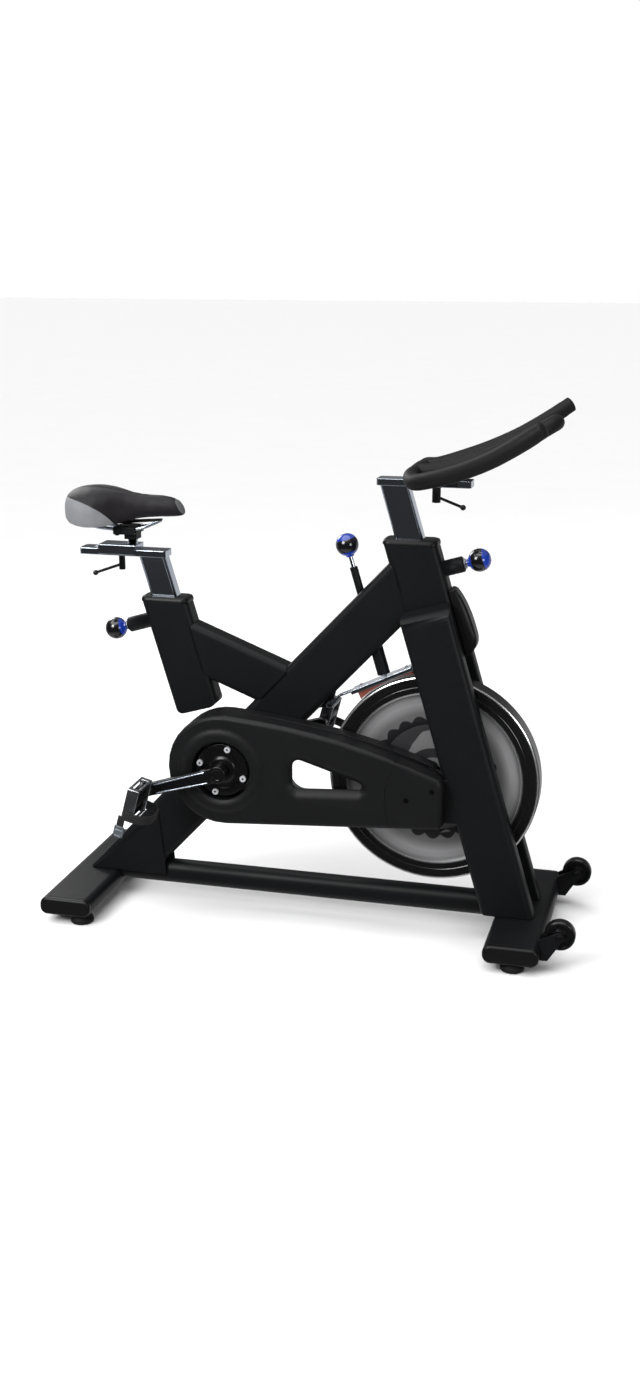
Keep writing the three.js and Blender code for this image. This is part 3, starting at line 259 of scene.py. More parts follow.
def slab(outline: Sequence[tuple[float, float]], y0: float, y1: float, edge: float) -> Shape:
    """An outline in X and Z made thick along Y, its rim edges rounded."""
    bm = bmesh.new()
    rings = [[bm.verts.new((x, y, z)) for x, z in outline] for y in (y0, y1)]
    skin(bm, rings)
    rim = [e for e in bm.edges if len(e.link_faces) == 2 and any(len(f.verts) > 4 for f in e.link_faces)]
    if edge > 0:
        bmesh.ops.bevel(bm, geom=rim, offset=edge, segments=3, profile=0.5, affect="EDGES", clamp_overlap=True)
    return bm


def moved(bm: Shape, matrix: Matrix) -> Shape:
    """The same mesh after a turn or a shift, its faces still pointing out."""
    bmesh.ops.transform(bm, matrix=matrix, verts=bm.verts)
    if matrix.determinant() < 0:
        bmesh.ops.reverse_faces(bm, faces=bm.faces)
    return bm


def together(*parts: Shape) -> Shape:
    """Several meshes as one."""
    whole = bmesh.new()
    for part in parts:
        mesh = mesh_from("part", part)
        whole.from_mesh(mesh)
        bpy.data.meshes.remove(mesh)
    return whole


def stand(name: str, data: object) -> bpy.types.Object:
    """Puts a mesh, a light or a camera in the scene as an object."""
    thing = bpy.data.objects.new(name, data)
    bpy.context.scene.collection.objects.link(thing)
    return thing


def mesh_from(name: str, shape: Shape) -> bpy.types.Mesh:
    """A mesh from a shape, which is used up."""
    mesh = bpy.data.meshes.new(name)
    shape.to_mesh(mesh)
    shape.free()
    return mesh


def evaluated(thing: bpy.types.Object) -> bpy.types.Mesh:
    """An object's mesh with its modifiers applied."""
    graph = bpy.context.evaluated_depsgraph_get()
    return bpy.data.meshes.new_from_object(thing.evaluated_get(graph), depsgraph=graph)


def corners_of(mesh: bpy.types.Mesh) -> np.ndarray:
    """A mesh's vertices as rows of x, y and z."""
    flat = np.empty(len(mesh.vertices) * 3, np.float32)
    mesh.vertices.foreach_get("co", flat)
    return flat.reshape(-1, 3)


# ---------------------------------------------------------------- finishes


class Nodes:
    """A node tree, with short calls that add and join nodes."""

    def __init__(self, tree: bpy.types.NodeTree) -> None:
        """Takes the tree."""
        self.tree = tree

    def add(self, kind: str, inputs: dict[str | int, object] | None = None, **settings: object) -> bpy.types.Node:
        """Adds a node."""
        node = self.tree.nodes.new(kind)
        for key, value in settings.items():
            setattr(node, key, value)
        for key, value in (inputs or {}).items():
            self.feed(node.inputs[key], value)
        return node

    def feed(self, socket: Socket, value: object) -> None:
        """Sets a socket to a value, or joins another socket to it."""
        if isinstance(value, Socket):
            self.tree.links.new(value, socket)
        else:
            socket.default_value = value

    def math(self, operation: str, a: object, b: object = 0.0, clamp: bool = False) -> Socket:
        """One step of arithmetic on numbers or sockets."""
        return self.add("ShaderNodeMath", {0: a, 1: b}, operation=operation, use_clamp=clamp).outputs[0]


class Recipe(Nodes):
    """A material's node tree around one Principled shader."""

    def __init__(self, name: str) -> None:
        """Starts the material."""
        self.material = bpy.data.materials.new(name)
        self.material.use_nodes = True
        super().__init__(self.material.node_tree)
        self.shader = self.tree.nodes["Principled BSDF"]

    def set(self, **inputs: object) -> None:
        """Sets the shader's inputs, whose names are given with underscores for spaces."""
        for key, value in inputs.items():
            self.feed(self.shader.inputs[key.replace("_", " ")], value)

    def coordinates(self) -> Socket:
        """Object coordinates, in metres of the row frame."""
        return self.add("ShaderNodeTexCoord").outputs["Object"]

    def vector(self, operation: str, a: object, b: object = (0.0, 0.0, 0.0)) -> bpy.types.Node:
        """One step of vector arithmetic."""
        return self.add("ShaderNodeVectorMath", {0: a, 1: b}, operation=operation)

    def noise(self, scale: float, detail: float = 3.0, vector: object = None, rough: float = 0.5) -> Socket:
        """Noise between 0 and 1 on object coordinates."""
        source = self.coordinates() if vector is None else vector
        inputs = {"Vector": source, "Scale": scale, "Detail": detail, "Roughness": rough}
        return self.add("ShaderNodeTexNoise", inputs).outputs["Fac"]

    def cells(self, scale: float, feature: str = "F1") -> Socket:
        """Distance in a cell pattern on object coordinates."""
        node = self.add("ShaderNodeTexVoronoi", {"Vector": self.coordinates(), "Scale": scale}, feature=feature)
        return node.outputs["Distance"]

    def between(self, factor: object, low: float, high: float) -> Socket:
        """Maps 0..1 to low..high."""
        node = self.add("ShaderNodeMapRange", {"Value": factor, "To Min": low, "To Max": high})
        return node.outputs["Result"]

    def step(self, value: object, edge: float, width: float) -> Socket:
        """0 below the edge and 1 above it, over a narrow width."""
        inputs = {"Value": value, "From Min": edge - width / 2, "From Max": edge + width / 2}
        return self.add("ShaderNodeMapRange", inputs, interpolation_type="SMOOTHSTEP").outputs["Result"]

    def mix(self, factor: object, first: object, second: object) -> Socket:
        """A colour between two colours."""
        node = self.tree.nodes.new("ShaderNodeMix")
        node.data_type = "RGBA"
        self.feed(node.inputs["Factor"], factor)
        for socket, value in ((node.inputs[6], first), (node.inputs[7], second)):
            self.feed(socket, (*value, 1.0) if isinstance(value, tuple) else value)
        return node.outputs[2]

    def bump(self, height: object, strength: float, distance: float, normal: object = None) -> Socket:
        """A bump from a height, on top of another normal where one is given."""
        inputs: dict[str | int, object] = {"Height": height, "Strength": strength, "Distance": distance}
        if normal is not None:
            inputs["Normal"] = normal
        return self.add("ShaderNodeBump", inputs).outputs["Normal"]

    def soft_edges(self, radius: float) -> Socket:
        """A normal that rounds sharp edges to a radius in metres."""
        return self.add("ShaderNodeBevel", {"Radius": radius}, samples=6).outputs["Normal"]


@dataclass(frozen=True)
class SurfaceFinish:
    """A plain finish: colour and gloss that vary a little, over a fine grain."""

    name: str
    colour: Colour
    tint: Colour
    roughness: tuple[float, float]
    metallic: float = 0.0
    specular: float = 0.5
    grain: float = 900.0
    depth: float = 0.00004
    patches: float = 14.0
    edge: float = 0.0

    def build(self) -> bpy.types.Material:
        """Builds the material."""
        recipe = Recipe(self.name)
        cloud = recipe.noise(self.patches, 4.0)
        grain = recipe.noise(self.grain, 2.0)
        under = recipe.soft_edges(self.edge) if self.edge else None
        recipe.set(
            Base_Color=recipe.mix(cloud, self.colour, self.tint),
            Metallic=self.metallic,
            Roughness=recipe.between(recipe.noise(self.patches * 5, 5.0), *self.roughness),
            Specular_IOR_Level=self.specular,
            Normal=recipe.bump(grain, 0.6, self.depth, under),
        )
        return recipe.material


@dataclass(frozen=True)
class BrushedFinish:
    """Metal with fine lines along one axis."""

    name: str
    colour: Colour
    roughness: tuple[float, float]
    lines: Point = (8.0, 900.0, 900.0)
    depth: float = 0.00002
    edge: float = 0.0008

    def build(self) -> bpy.types.Material:
        """Builds the material."""
        recipe = Recipe(self.name)
        stretched = recipe.add("ShaderNodeMapping", {"Vector": recipe.coordinates(), "Scale": self.lines})
        lines = recipe.noise(1.0, 3.0, stretched.outputs["Vector"])
        smudge = recipe.noise(30.0, 5.0)
        darker = tuple(c * 0.86 for c in self.colour)
        recipe.set(
            Base_Color=recipe.mix(smudge, self.colour, darker),
            Metallic=1.0,
            Roughness=recipe.between(lines, *self.roughness),
            Normal=recipe.bump(lines, 0.35, self.depth, recipe.soft_edges(self.edge)),
        )
        return recipe.material


@dataclass(frozen=True)
class KnobFinish:
    """A glossy black ball with blue ends, about its own centre and axis."""

    name: str
    centre: Point
    axis: Point
    radius: float
    outer: float = 0.5
    inner: float = 0.6
    blue: Colour = (0.01, 0.045, 0.4)
    black: Colour = (0.004, 0.004, 0.005)

    def build(self) -> bpy.types.Material:
        """Builds the material."""
        recipe = Recipe(self.name)
        offset = recipe.vector("SUBTRACT", recipe.coordinates(), tuple(metres(self.centre)))
        along = recipe.vector("DOT_PRODUCT", offset.outputs["Vector"], self.axis)
        share = recipe.math("DIVIDE", along.outputs["Value"], self.radius / 1000)
        outer = recipe.step(share, self.outer, 0.03)
        inner = recipe.step(recipe.math("MULTIPLY", share, -1.0), self.inner, 0.03)
        ends = recipe.math("MAXIMUM", outer, inner)
        height = recipe.math("MULTIPLY", ends, -1.0)
        fine = recipe.noise(400.0)
        shade = recipe.mix(recipe.noise(60.0), self.blue, tuple(c * 0.55 for c in self.blue))
        recipe.set(
            Base_Color=recipe.mix(ends, self.black, shade),
            Roughness=recipe.between(fine, 0.12, 0.2),
            Coat_Weight=0.6,
            Coat_Roughness=0.06,
            Normal=recipe.bump(height, 0.5, 0.0004),
        )
        return recipe.material


@dataclass(frozen=True)
class FlywheelFinish:
    """Bands of polished, black and grey metal by distance from the axle, among them painted shade, painted highlights
    and a painted dark reflection.
    """

    name: str = "flywheel_bands"
    lobes: int = 24
    lobe_start: float = 0.565
    lobe_depth: float = 0.045
    ink: Colour = (0.022, 0.022, 0.024)

    def build(self) -> bpy.types.Material:
        """Builds the material."""
        recipe = Recipe(self.name)
        offset = recipe.vector("SUBTRACT", recipe.coordinates(), tuple(metres(FLYWHEEL_CENTRE)))
        flattened = recipe.vector("MULTIPLY", offset.outputs["Vector"], (1.0, 0.0, 1.0))
        length = recipe.vector("LENGTH", flattened.outputs["Vector"])
        share = recipe.math("DIVIDE", length.outputs["Value"], FLYWHEEL_RADIUS / 1000)
        bands = recipe.add("ShaderNodeValToRGB", {"Fac": share})
        # Grey over the web. Across the dish, a painted band of light between painted shade. The two thin bright rings
        # at the rim's edges are painted highlights. The near-black rim bands and outer rim are polished metal
        # darkened as a painted dark reflection.
        tone_and_light_stops = (
            (0.0, 0.05), (0.12, 0.06), (0.14, 0.15), (0.58, 0.17), (0.64, 0.17), (0.73, 0.32), (0.78, 0.26),
            (0.825, 0.09), (0.832, 0.5), (0.842, 0.5), (0.848, 0.045), (0.975, 0.05), (0.981, 0.85),
            (0.99, 0.85), (0.996, 0.06), (1.0, 0.06),
        )
        ramp = bands.color_ramp
        for index, (position, shade) in enumerate(tone_and_light_stops):
            stop = ramp.elements[index] if index < 2 else ramp.elements.new(position)
            stop.position = position
            stop.color = (shade, shade, shade * 1.02, 1.0)
        across = recipe.add("ShaderNodeSeparateXYZ", {"Vector": flattened.outputs["Vector"]}).outputs
        turn = recipe.math("ARCTAN2", across["Z"], across["X"])
        lobes = recipe.math("ABSOLUTE", recipe.math("COSINE", recipe.math("MULTIPLY", turn, self.lobes / 2)))
        edge = recipe.math("ADD", recipe.math("MULTIPLY", lobes, self.lobe_depth), self.lobe_start)
        blobs = recipe.step(recipe.noise(15.0, 1.0, rough=0.3), 0.49, 0.012)
        band = recipe.step(recipe.math("ABSOLUTE", recipe.math("SUBTRACT", share, 0.42)), 0.13, 0.006)
        inside = recipe.step(recipe.math("SUBTRACT", edge, share), 0.0, 0.006)
        outside_hub = recipe.step(share, 0.2, 0.01)
        dark = recipe.math("MAXIMUM", blobs, band)
        print_mask = recipe.math("MULTIPLY", dark, recipe.math("MULTIPLY", inside, outside_hub))
        printed = recipe.mix(print_mask, bands.outputs["Color"], self.ink)
        rings = recipe.add(
            "ShaderNodeTexWave",
            {"Vector": flattened.outputs["Vector"], "Scale": 260.0, "Distortion": 0.4},
            wave_type="RINGS",
            rings_direction="Y",
        )
        metal = recipe.math("MULTIPLY", recipe.step(share, 0.515, 0.02), 0.3)
        polish = recipe.step(share, 0.83, 0.01)
        dull = recipe.between(rings.outputs["Fac"], 0.3, 0.42)
        recipe.set(
            Base_Color=printed,
            Metallic=recipe.math("ADD", metal, recipe.math("MULTIPLY", polish, 0.6)),
            Roughness=recipe.math("SUBTRACT", dull, recipe.math("MULTIPLY", polish, 0.16)),
            Normal=recipe.bump(rings.outputs["Fac"], 0.12, 0.00003),
        )
        return recipe.material


@dataclass(frozen=True)
class SaddleFinish:
    """Dark grained cover with silver panels low at the rear and a silver nose edge."""

    name: str = "saddle_cover"
    panel_length: float = 0.12
    panel_foot: float = 0.852
    panel_rise: float = 0.078
    panel_bulge: float = 2.2
    nose_lean: float = 0.58
    nose_height: float = 0.888

    def build(self) -> bpy.types.Material:
        """Builds the material."""
        recipe = Recipe(self.name)
        parts = recipe.add("ShaderNodeSeparateXYZ", {"Vector": recipe.coordinates()}).outputs
        rear = metres((SADDLE_REAR, 0, 0)).x
        nose = metres((SADDLE_NOSE, 0, 0)).x
        distance = recipe.math("SUBTRACT", parts["X"], rear + 0.005)
        ahead = recipe.math("DIVIDE", distance, self.panel_length, clamp=True)
        bulge = recipe.math("SQRT", recipe.math("SUBTRACT", 1.0, recipe.math("POWER", ahead, self.panel_bulge)))
        limit = recipe.math("ADD", recipe.math("MULTIPLY", bulge, self.panel_rise), self.panel_foot)
        below = recipe.math("SUBTRACT", limit, parts["Z"])
        side = recipe.step(below, 0.0, 0.0012)
        leaning = recipe.math("ADD", parts["X"], recipe.math("MULTIPLY", parts["Z"], self.nose_lean))
        tip = recipe.step(leaning, nose - 0.004 + self.nose_height * self.nose_lean, 0.001)
        silver = recipe.math("MAXIMUM", side, recipe.math("MULTIPLY", tip, 0.5))
        seam = recipe.math("SUBTRACT", 1.0, recipe.step(recipe.math("ABSOLUTE", below), 0.0012, 0.0012))
        grain = recipe.cells(620.0)
        weave = recipe.cells(900.0, "F2")
        relief = recipe.mix(silver, grain, weave)
        height = recipe.math("SUBTRACT", relief, recipe.math("MULTIPLY", seam, 1.6))
        dark = recipe.mix(recipe.noise(22.0, 4.0), (0.005, 0.0038, 0.0053), (0.008, 0.0064, 0.0084))
        light = recipe.mix(recipe.noise(40.0, 4.0), (0.16, 0.166, 0.174), (0.2, 0.207, 0.216))
        recipe.set(
            Base_Color=recipe.mix(seam, recipe.mix(silver, dark, light), (0.012, 0.012, 0.012)),
            Roughness=recipe.between(recipe.noise(90.0, 4.0), 0.42, 0.62),
            Specular_IOR_Level=0.25,
            Sheen_Weight=0.03,
            Normal=recipe.bump(height, 0.7, 0.0003),
        )
        return recipe.material


@dataclass(frozen=True)
class WebbingFinish:
    """Woven tape: crossing ribs of thread."""

    name: str = "strap_webbing"
    colour: Colour = (0.005, 0.005, 0.0055)

    def build(self) -> bpy.types.Material:
        """Builds the material."""
        recipe = Recipe(self.name)
        source = recipe.coordinates()
        bands = {"Scale": 420.0, "Distortion": 0.6, "Vector": source}
        warp = recipe.add("ShaderNodeTexWave", bands, bands_direction="Y").outputs["Fac"]
        weft = recipe.add("ShaderNodeTexWave", bands, bands_direction="DIAGONAL").outputs["Fac"]
        threads = recipe.math("MULTIPLY", warp, weft)
        recipe.set(
            Base_Color=recipe.mix(threads, self.colour, tuple(c * 2.6 for c in self.colour)),
            Roughness=recipe.between(threads, 0.75, 0.95),
            Normal=recipe.bump(threads, 0.8, 0.0003),
        )
        return recipe.material


class Finishes:
    """Every finish on the machine, built once."""

    def __init__(self) -> None:
        """Builds the materials."""
        self.paint = SurfaceFinish(
            "black_paint", (0.0042, 0.0046, 0.0052), (0.006, 0.0064, 0.0072), (0.38, 0.48), specular=0.16, edge=0.003
        ).build()
        self.guard = SurfaceFinish(
            "guard_plastic", (0.0046, 0.0048, 0.0053), (0.0064, 0.0067, 0.0073), (0.42, 0.52),
            specular=0.2, grain=1400.0, depth=0.00006, edge=0.002,
        ).build()
        self.plastic = SurfaceFinish(
            "moulded_plastic", (0.0038, 0.0038, 0.0043), (0.0055, 0.0055, 0.006), (0.32, 0.42),
            specular=0.22, grain=1200.0, edge=0.0015,
        ).build()
        self.gloss = SurfaceFinish(
            "gloss_black", (0.003, 0.003, 0.0034), (0.0044, 0.0044, 0.005), (0.18, 0.28),
            specular=0.35, depth=0.00001, edge=0.0015,
        ).build()
        # Near-black matt finish: painted shade standing in for the dark inside of screw recesses.
        self.hollow = SurfaceFinish(
            "screw_recess_painted_shade", (0.001, 0.001, 0.001), (0.0015, 0.0015, 0.0015), (0.7, 0.8), specular=0.05
        ).build()
        self.rubber = SurfaceFinish(
            "black_rubber", (0.005, 0.005, 0.005), (0.0085, 0.0085, 0.0085), (0.6, 0.76),
            specular=0.18, grain=700.0, depth=0.0001, edge=0.001,
        ).build()
        self.foam = SurfaceFinish(
            "grip_foam", (0.0048, 0.0048, 0.0056), (0.0072, 0.0072, 0.0082), (0.5, 0.62),
            specular=0.2, grain=650.0, depth=0.0002,
        ).build()
        self.chrome = BrushedFinish("chrome", (0.66, 0.72, 0.82), (0.06, 0.13), depth=0.000004, edge=0.0022).build()
        self.zinc = SurfaceFinish(
            "bright_zinc", (0.62, 0.63, 0.66), (0.74, 0.75, 0.78), (0.25, 0.35), metallic=0.45
        ).build()
        self.steel = BrushedFinish("bright_steel", (0.5, 0.51, 0.53), (0.22, 0.36)).build()
        self.alloy = BrushedFinish("pedal_alloy", (0.62, 0.63, 0.66), (0.16, 0.3), (900.0, 12.0, 900.0)).build()
        self.felt = SurfaceFinish(
            "brake_felt", (0.13, 0.035, 0.025), (0.22, 0.07, 0.05), (0.85, 0.98),
            specular=0.1, grain=480.0, depth=0.0005, patches=60.0,
        ).build()
        self.buckle = SurfaceFinish(
            "buckle_grey", (0.16, 0.18, 0.2), (0.22, 0.24, 0.26), (0.3, 0.42), metallic=0.6, edge=0.0008
        ).build()
        self.flywheel = FlywheelFinish().build()
        self.saddle = SaddleFinish().build()
        self.webbing = WebbingFinish().build()


# ---------------------------------------------------------------- making pieces


@dataclass(frozen=True)
class Dress:
    """How a piece is finished: its material, the body it rides on and the nodes it stands for."""

    material: bpy.types.Material
    slot: str
    body: Body
    replaces: tuple[str, ...] = ()
    smooth: float = 40.0


class Blank(Enum):
    """Small shapes that are repeated, with their sides."""

    HEXAGON = 6
    ROUND = 24
    BEAD = 12


@dataclass
class Workshop:
    """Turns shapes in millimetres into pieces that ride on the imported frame."""

    frame: dict
    finishes: Finishes = field(default_factory=Finishes)

    def finish(self, name: str, shape: Shape, dress: Dress) -> bpy.types.Object:
        """Makes a piece from a shape in crank-centred millimetres.

        Args:
            name: the piece's name.
            shape: its mesh, which is used up.
            dress: how it is finished.

        Returns:
            The piece.
        """
        bmesh.ops.transform(shape, matrix=TO_METRES, verts=shape.verts)
        return self.hang(name, mesh_from(name, shape), dress)

    def hang(self, name: str, mesh: bpy.types.Mesh, dress: Dress) -> bpy.types.Object:
        """Puts a finished mesh in the scene on its body."""
        mesh.materials.clear()
        mesh.materials.append(dress.material)
        mesh.shade_smooth()
        mesh.set_sharp_from_angle(angle=math.radians(dress.smooth))
        piece = stand(name, mesh)
        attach(piece, dress.body.value)
        if dress.replaces:
            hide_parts(*dress.replaces)
        LOG.info("%s rides on %s with %d faces", name, dress.body.value, len(mesh.polygons))
        return piece

    def polish(self, node: str, material: bpy.types.Material, slot: str, smooth: float = 38.0) -> bpy.types.Object:
        """Stands a smooth-shaded twin in for a CAD node."""
        source = self.frame["nodes"][node]
        bm = bmesh.new()
        bm.from_mesh(source.data)
        bmesh.ops.remove_doubles(bm, verts=bm.verts, dist=2e-5)
        bmesh.ops.dissolve_degenerate(bm, edges=bm.edges, dist=1e-6)
        bmesh.ops.dissolve_limit(bm, angle_limit=math.radians(1.0), verts=bm.verts, edges=bm.edges)
        mesh = mesh_from(f"{node}_finished", bm)
        mesh.materials.append(material)
        mesh.shade_smooth()
        mesh.set_sharp_from_angle(angle=math.radians(smooth))
        twin = stand(f"{node}_finished", mesh)
        weights = twin.modifiers.new("face_weights", "WEIGHTED_NORMAL")
        weights.keep_sharp = True
        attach(twin, source["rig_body"])
        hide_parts(node)
        return twin

    def repeat(
        self, name: str, blank: Blank, size: tuple[float, float], places: Sequence[tuple[Point, Vector]], dress: Dress
    ) -> bpy.types.Object:
        """Repeats a small shape on given places with a geometry node tree.

        Args:
            name: the piece's name.
            blank: the shape.
            size: its radius and its length in millimetres.
            places: where each one is centred, and where its axis points.
            dress: how the piece is finished.

        Returns:
            The piece, as one plain mesh.
        """
        cloud = bpy.data.meshes.new(f"{name}_places")
        cloud.from_pydata([metres(p) for p, _ in places], [], [])
        aims = cloud.attributes.new("aim", "FLOAT_VECTOR", "POINT")
        aims.data.foreach_set("vector", [c for _, aim in places for c in aim.normalized()])
        carrier = stand(f"{name}_carrier", cloud)
        modifier = carrier.modifiers.new("repeat", "NODES")
        tree = self.repeat_tree(name, blank, dress.material)
        modifier.node_group = tree
        sizes = {"Radius": size[0] / 1000, "Length": size[1] / 1000}
        for item in tree.interface.items_tree:
            if item.in_out == "INPUT" and item.name in sizes:
                modifier[item.identifier] = sizes[item.name]
        mesh = evaluated(carrier)
        mesh.name = name
        bpy.data.objects.remove(carrier)
        return self.hang(name, mesh, dress)

    @staticmethod
    def repeat_tree(name: str, blank: Blank, material: bpy.types.Material) -> bpy.types.NodeTree:
        """Builds the node tree that puts one blank on every point, its axis along "aim"."""
        tree = bpy.data.node_groups.new(f"{name}_tree", "GeometryNodeTree")
        tree.interface.new_socket("Geometry", in_out="INPUT", socket_type="NodeSocketGeometry")
        for label in ("Radius", "Length"):
            tree.interface.new_socket(label, in_out="INPUT", socket_type="NodeSocketFloat")
        tree.interface.new_socket("Geometry", in_out="OUTPUT", socket_type="NodeSocketGeometry")
        new, link = tree.nodes.new, tree.links.new
        start = new("NodeGroupInput")
        if blank is Blank.BEAD:
            shape = new("GeometryNodeMeshUVSphere")
            shape.inputs["Segments"].default_value = blank.value
            shape.inputs["Rings"].default_value = blank.value // 2
        else:
            shape = new("GeometryNodeMeshCylinder")
            shape.inputs["Vertices"].default_value = blank.value
            shape.inputs["Depth"].default_value = 1.0
        shape.inputs["Radius"].default_value = 1.0
        scale = new("ShaderNodeCombineXYZ")
        for axis, label in (("X", "Radius"), ("Y", "Radius"), ("Z", "Length")):
            link(start.outputs[label], scale.inputs[axis])
        aim = new("GeometryNodeInputNamedAttribute")
        aim.data_type = "FLOAT_VECTOR"
        aim.inputs["Name"].default_value = "aim"
        align = new("FunctionNodeAlignRotationToVector")
        align.axis = "Z"
        link(aim.outputs["Attribute"], align.inputs["Vector"])
        place = new("GeometryNodeInstanceOnPoints")
        link(start.outputs["Geometry"], place.inputs["Points"])
        link(shape.outputs["Mesh"], place.inputs["Instance"])
        link(align.outputs["Rotation"], place.inputs["Rotation"])
        link(scale.outputs["Vector"], place.inputs["Scale"])
        real = new("GeometryNodeRealizeInstances")
        link(place.outputs["Instances"], real.inputs["Geometry"])
        coat = new("GeometryNodeSetMaterial")
        coat.inputs["Material"].default_value = material
        link(real.outputs["Geometry"], coat.inputs["Geometry"])
        end = new("NodeGroupOutput")
        link(coat.outputs["Geometry"], end.inputs["Geometry"])
        return tree


# ---------------------------------------------------------------- studio


@dataclass
class Studio:
    """Floor, backdrop, lights and camera."""

    lens: float = 40.72
    eye: Point = (1026.0, -3180.0, 1450.0)
    turn: float = math.radians(14.66)
    fall: float = math.radians(15.9)
    ceiling: float = 0.42
    backdrop: float = 0.55
    gloom: float = 0.035

    def camera(self) -> None:
        """Sets the camera."""
        data = bpy.data.cameras.new("camera")
        data.lens = self.lens
        data.sensor_width = 36.0
        data.clip_end = 100.0
        camera = stand("camera", data)
        camera.location = metres(self.eye)
        heading = Vector(
            (
                -math.sin(self.turn) * math.cos(self.fall),
                math.cos(self.turn) * math.cos(self.fall),
                -math.sin(self.fall),
            )
        )
        camera.rotation_euler = heading.to_track_quat("-Z", "Y").to_euler()
        bpy.context.scene.camera = camera

    def floor(self) -> None:
        """Lays a wide pale floor."""
        bm = bmesh.new()
        bm.faces.new([bm.verts.new((x, y, 0.0)) for x, y in ((-40, -40), (40, -40), (40, 40), (-40, 40))])
        mesh = mesh_from("studio_floor", bm)
        mesh.shade_smooth()
        recipe = Recipe("studio_paper")
        recipe.set(Base_Color=recipe.mix(recipe.noise(3.0), (0.86, 0.86, 0.86), (0.89, 0.89, 0.89)), Roughness=0.9)
        mesh.materials.append(recipe.material)
        floor = stand("studio_floor", mesh)
        floor.visible_glossy = False

    def light(self, name: str, where: Point, toward: Point, size: float, power: float) -> None:
        """Adds one soft square light, in metres of the row frame."""
        data = bpy.data.lights.new(name, "AREA")
        data.size = size
        data.energy = power
        lamp = stand(name, data)
        lamp.location = where
        lamp.rotation_euler = (Vector(toward) - Vector(where)).to_track_quat("-Z", "Y").to_euler()

    def room(self) -> None:
        """Surrounds the machine with a bright ceiling, a lit floor behind and a dim room in front."""
        world = bpy.data.worlds.new("studio_world")
        bpy.context.scene.world = world
        world.use_nodes = True
        nodes = Nodes(world.node_tree)
        looking = nodes.add("ShaderNodeTexCoord").outputs["Generated"]
        direction = nodes.add("ShaderNodeSeparateXYZ", {0: looking}).outputs

        def ramp(axis: str, start: float, stop: float, low: float, high: float) -> Socket:
            """A smooth step between two levels along one axis of the direction."""
            inputs = {"Value": direction[axis], "From Min": start, "From Max": stop, "To Min": low, "To Max": high}
            return nodes.add("ShaderNodeMapRange", inputs, interpolation_type="SMOOTHSTEP").outputs["Result"]

        ceiling = ramp("Z", 0.3, 0.85, 0.0, self.ceiling)
        behind = nodes.math("MULTIPLY", ramp("Y", 0.0, 0.55, 0.0, self.backdrop), ramp("Z", -0.02, 0.2, 1.0, 0.12))
        below = ramp("Z", -0.8, -0.42, self.backdrop, 0.0)
        glow = nodes.math("MAXIMUM", nodes.math("MAXIMUM", ceiling, behind), below)
        level = nodes.math("ADD", glow, self.gloom)
        seen = nodes.math("MAXIMUM", level, nodes.add("ShaderNodeLightPath").outputs["Is Camera Ray"])
        background = nodes.tree.nodes["Background"]
        nodes.feed(background.inputs["Color"], (1.0, 1.0, 1.0, 1.0))
        nodes.feed(background.inputs["Strength"], seen)

    def sun(self, strength: float) -> None:
        """Adds a wide soft sun from above."""
        data = bpy.data.lights.new("ceiling_sun", "SUN")
        data.energy = strength
        data.angle = math.radians(70)
        lamp = stand("ceiling_sun", data)
        lamp.rotation_euler = (math.radians(12), math.radians(-10), 0.0)

    def build(self) -> None:
        """Builds the studio."""
        self.camera()
        self.floor()
        self.room()
        bpy.context.scene.view_settings.view_transform = "Standard"
        self.sun(2.6)
        self.light("key_light", (-1.8, -3.2, 2.6), (0.0, 0.0, 0.5), 1.6, 110.0)
        self.light("fill_light", (2.8, -2.4, 1.4), (0.1, 0.0, 0.5), 1.2, 30.0)
        self.light("rim_light", (-2.4, 2.2, 2.2), (0.0, 0.0, 0.7), 1.4, 40.0)


# ---------------------------------------------------------------- sub-assemblies


@dataclass
class Chassis:
    """The painted frame, its base, feet, plastic caps and collars."""

    shop: Workshop

    def painted(self) -> None:
        """Finishes the painted steel."""
        for node in (
            "front_stabilizer",
            "rear_stabilizer",
            "base_beam",
            "main_tube",
            "seat_stay",
            "seat_tube",
            "head_tube",
            "fork_leg_right",
            "fork_leg_left",
            "wheel_bracket_right",
            "wheel_bracket_left",
            "brake_rod_sleeve",
        ):
            self.shop.polish(node, self.shop.finishes.paint, "black_paint")

    def plastics(self) -> None:
        """Finishes caps, collars and feet."""
        for node in ("front_cap_right", "front_cap_left", "rear_cap_right", "rear_cap_left", "crown_cover"):
            self.shop.polish(node, self.shop.finishes.plastic, "black_plastic", 62.0)
        for node in ("seat_collar", "head_collar"):
            self.shop.polish(node, self.shop.finishes.plastic, "gloss_black", 62.0)
        for node in ("front_foot_right", "front_foot_left", "rear_foot_right", "rear_foot_left"):
            self.shop.polish(node, self.shop.finishes.rubber, "black_rubber")

    def build(self) -> None:
        """Builds the chassis."""
        self.painted()
        self.plastics()


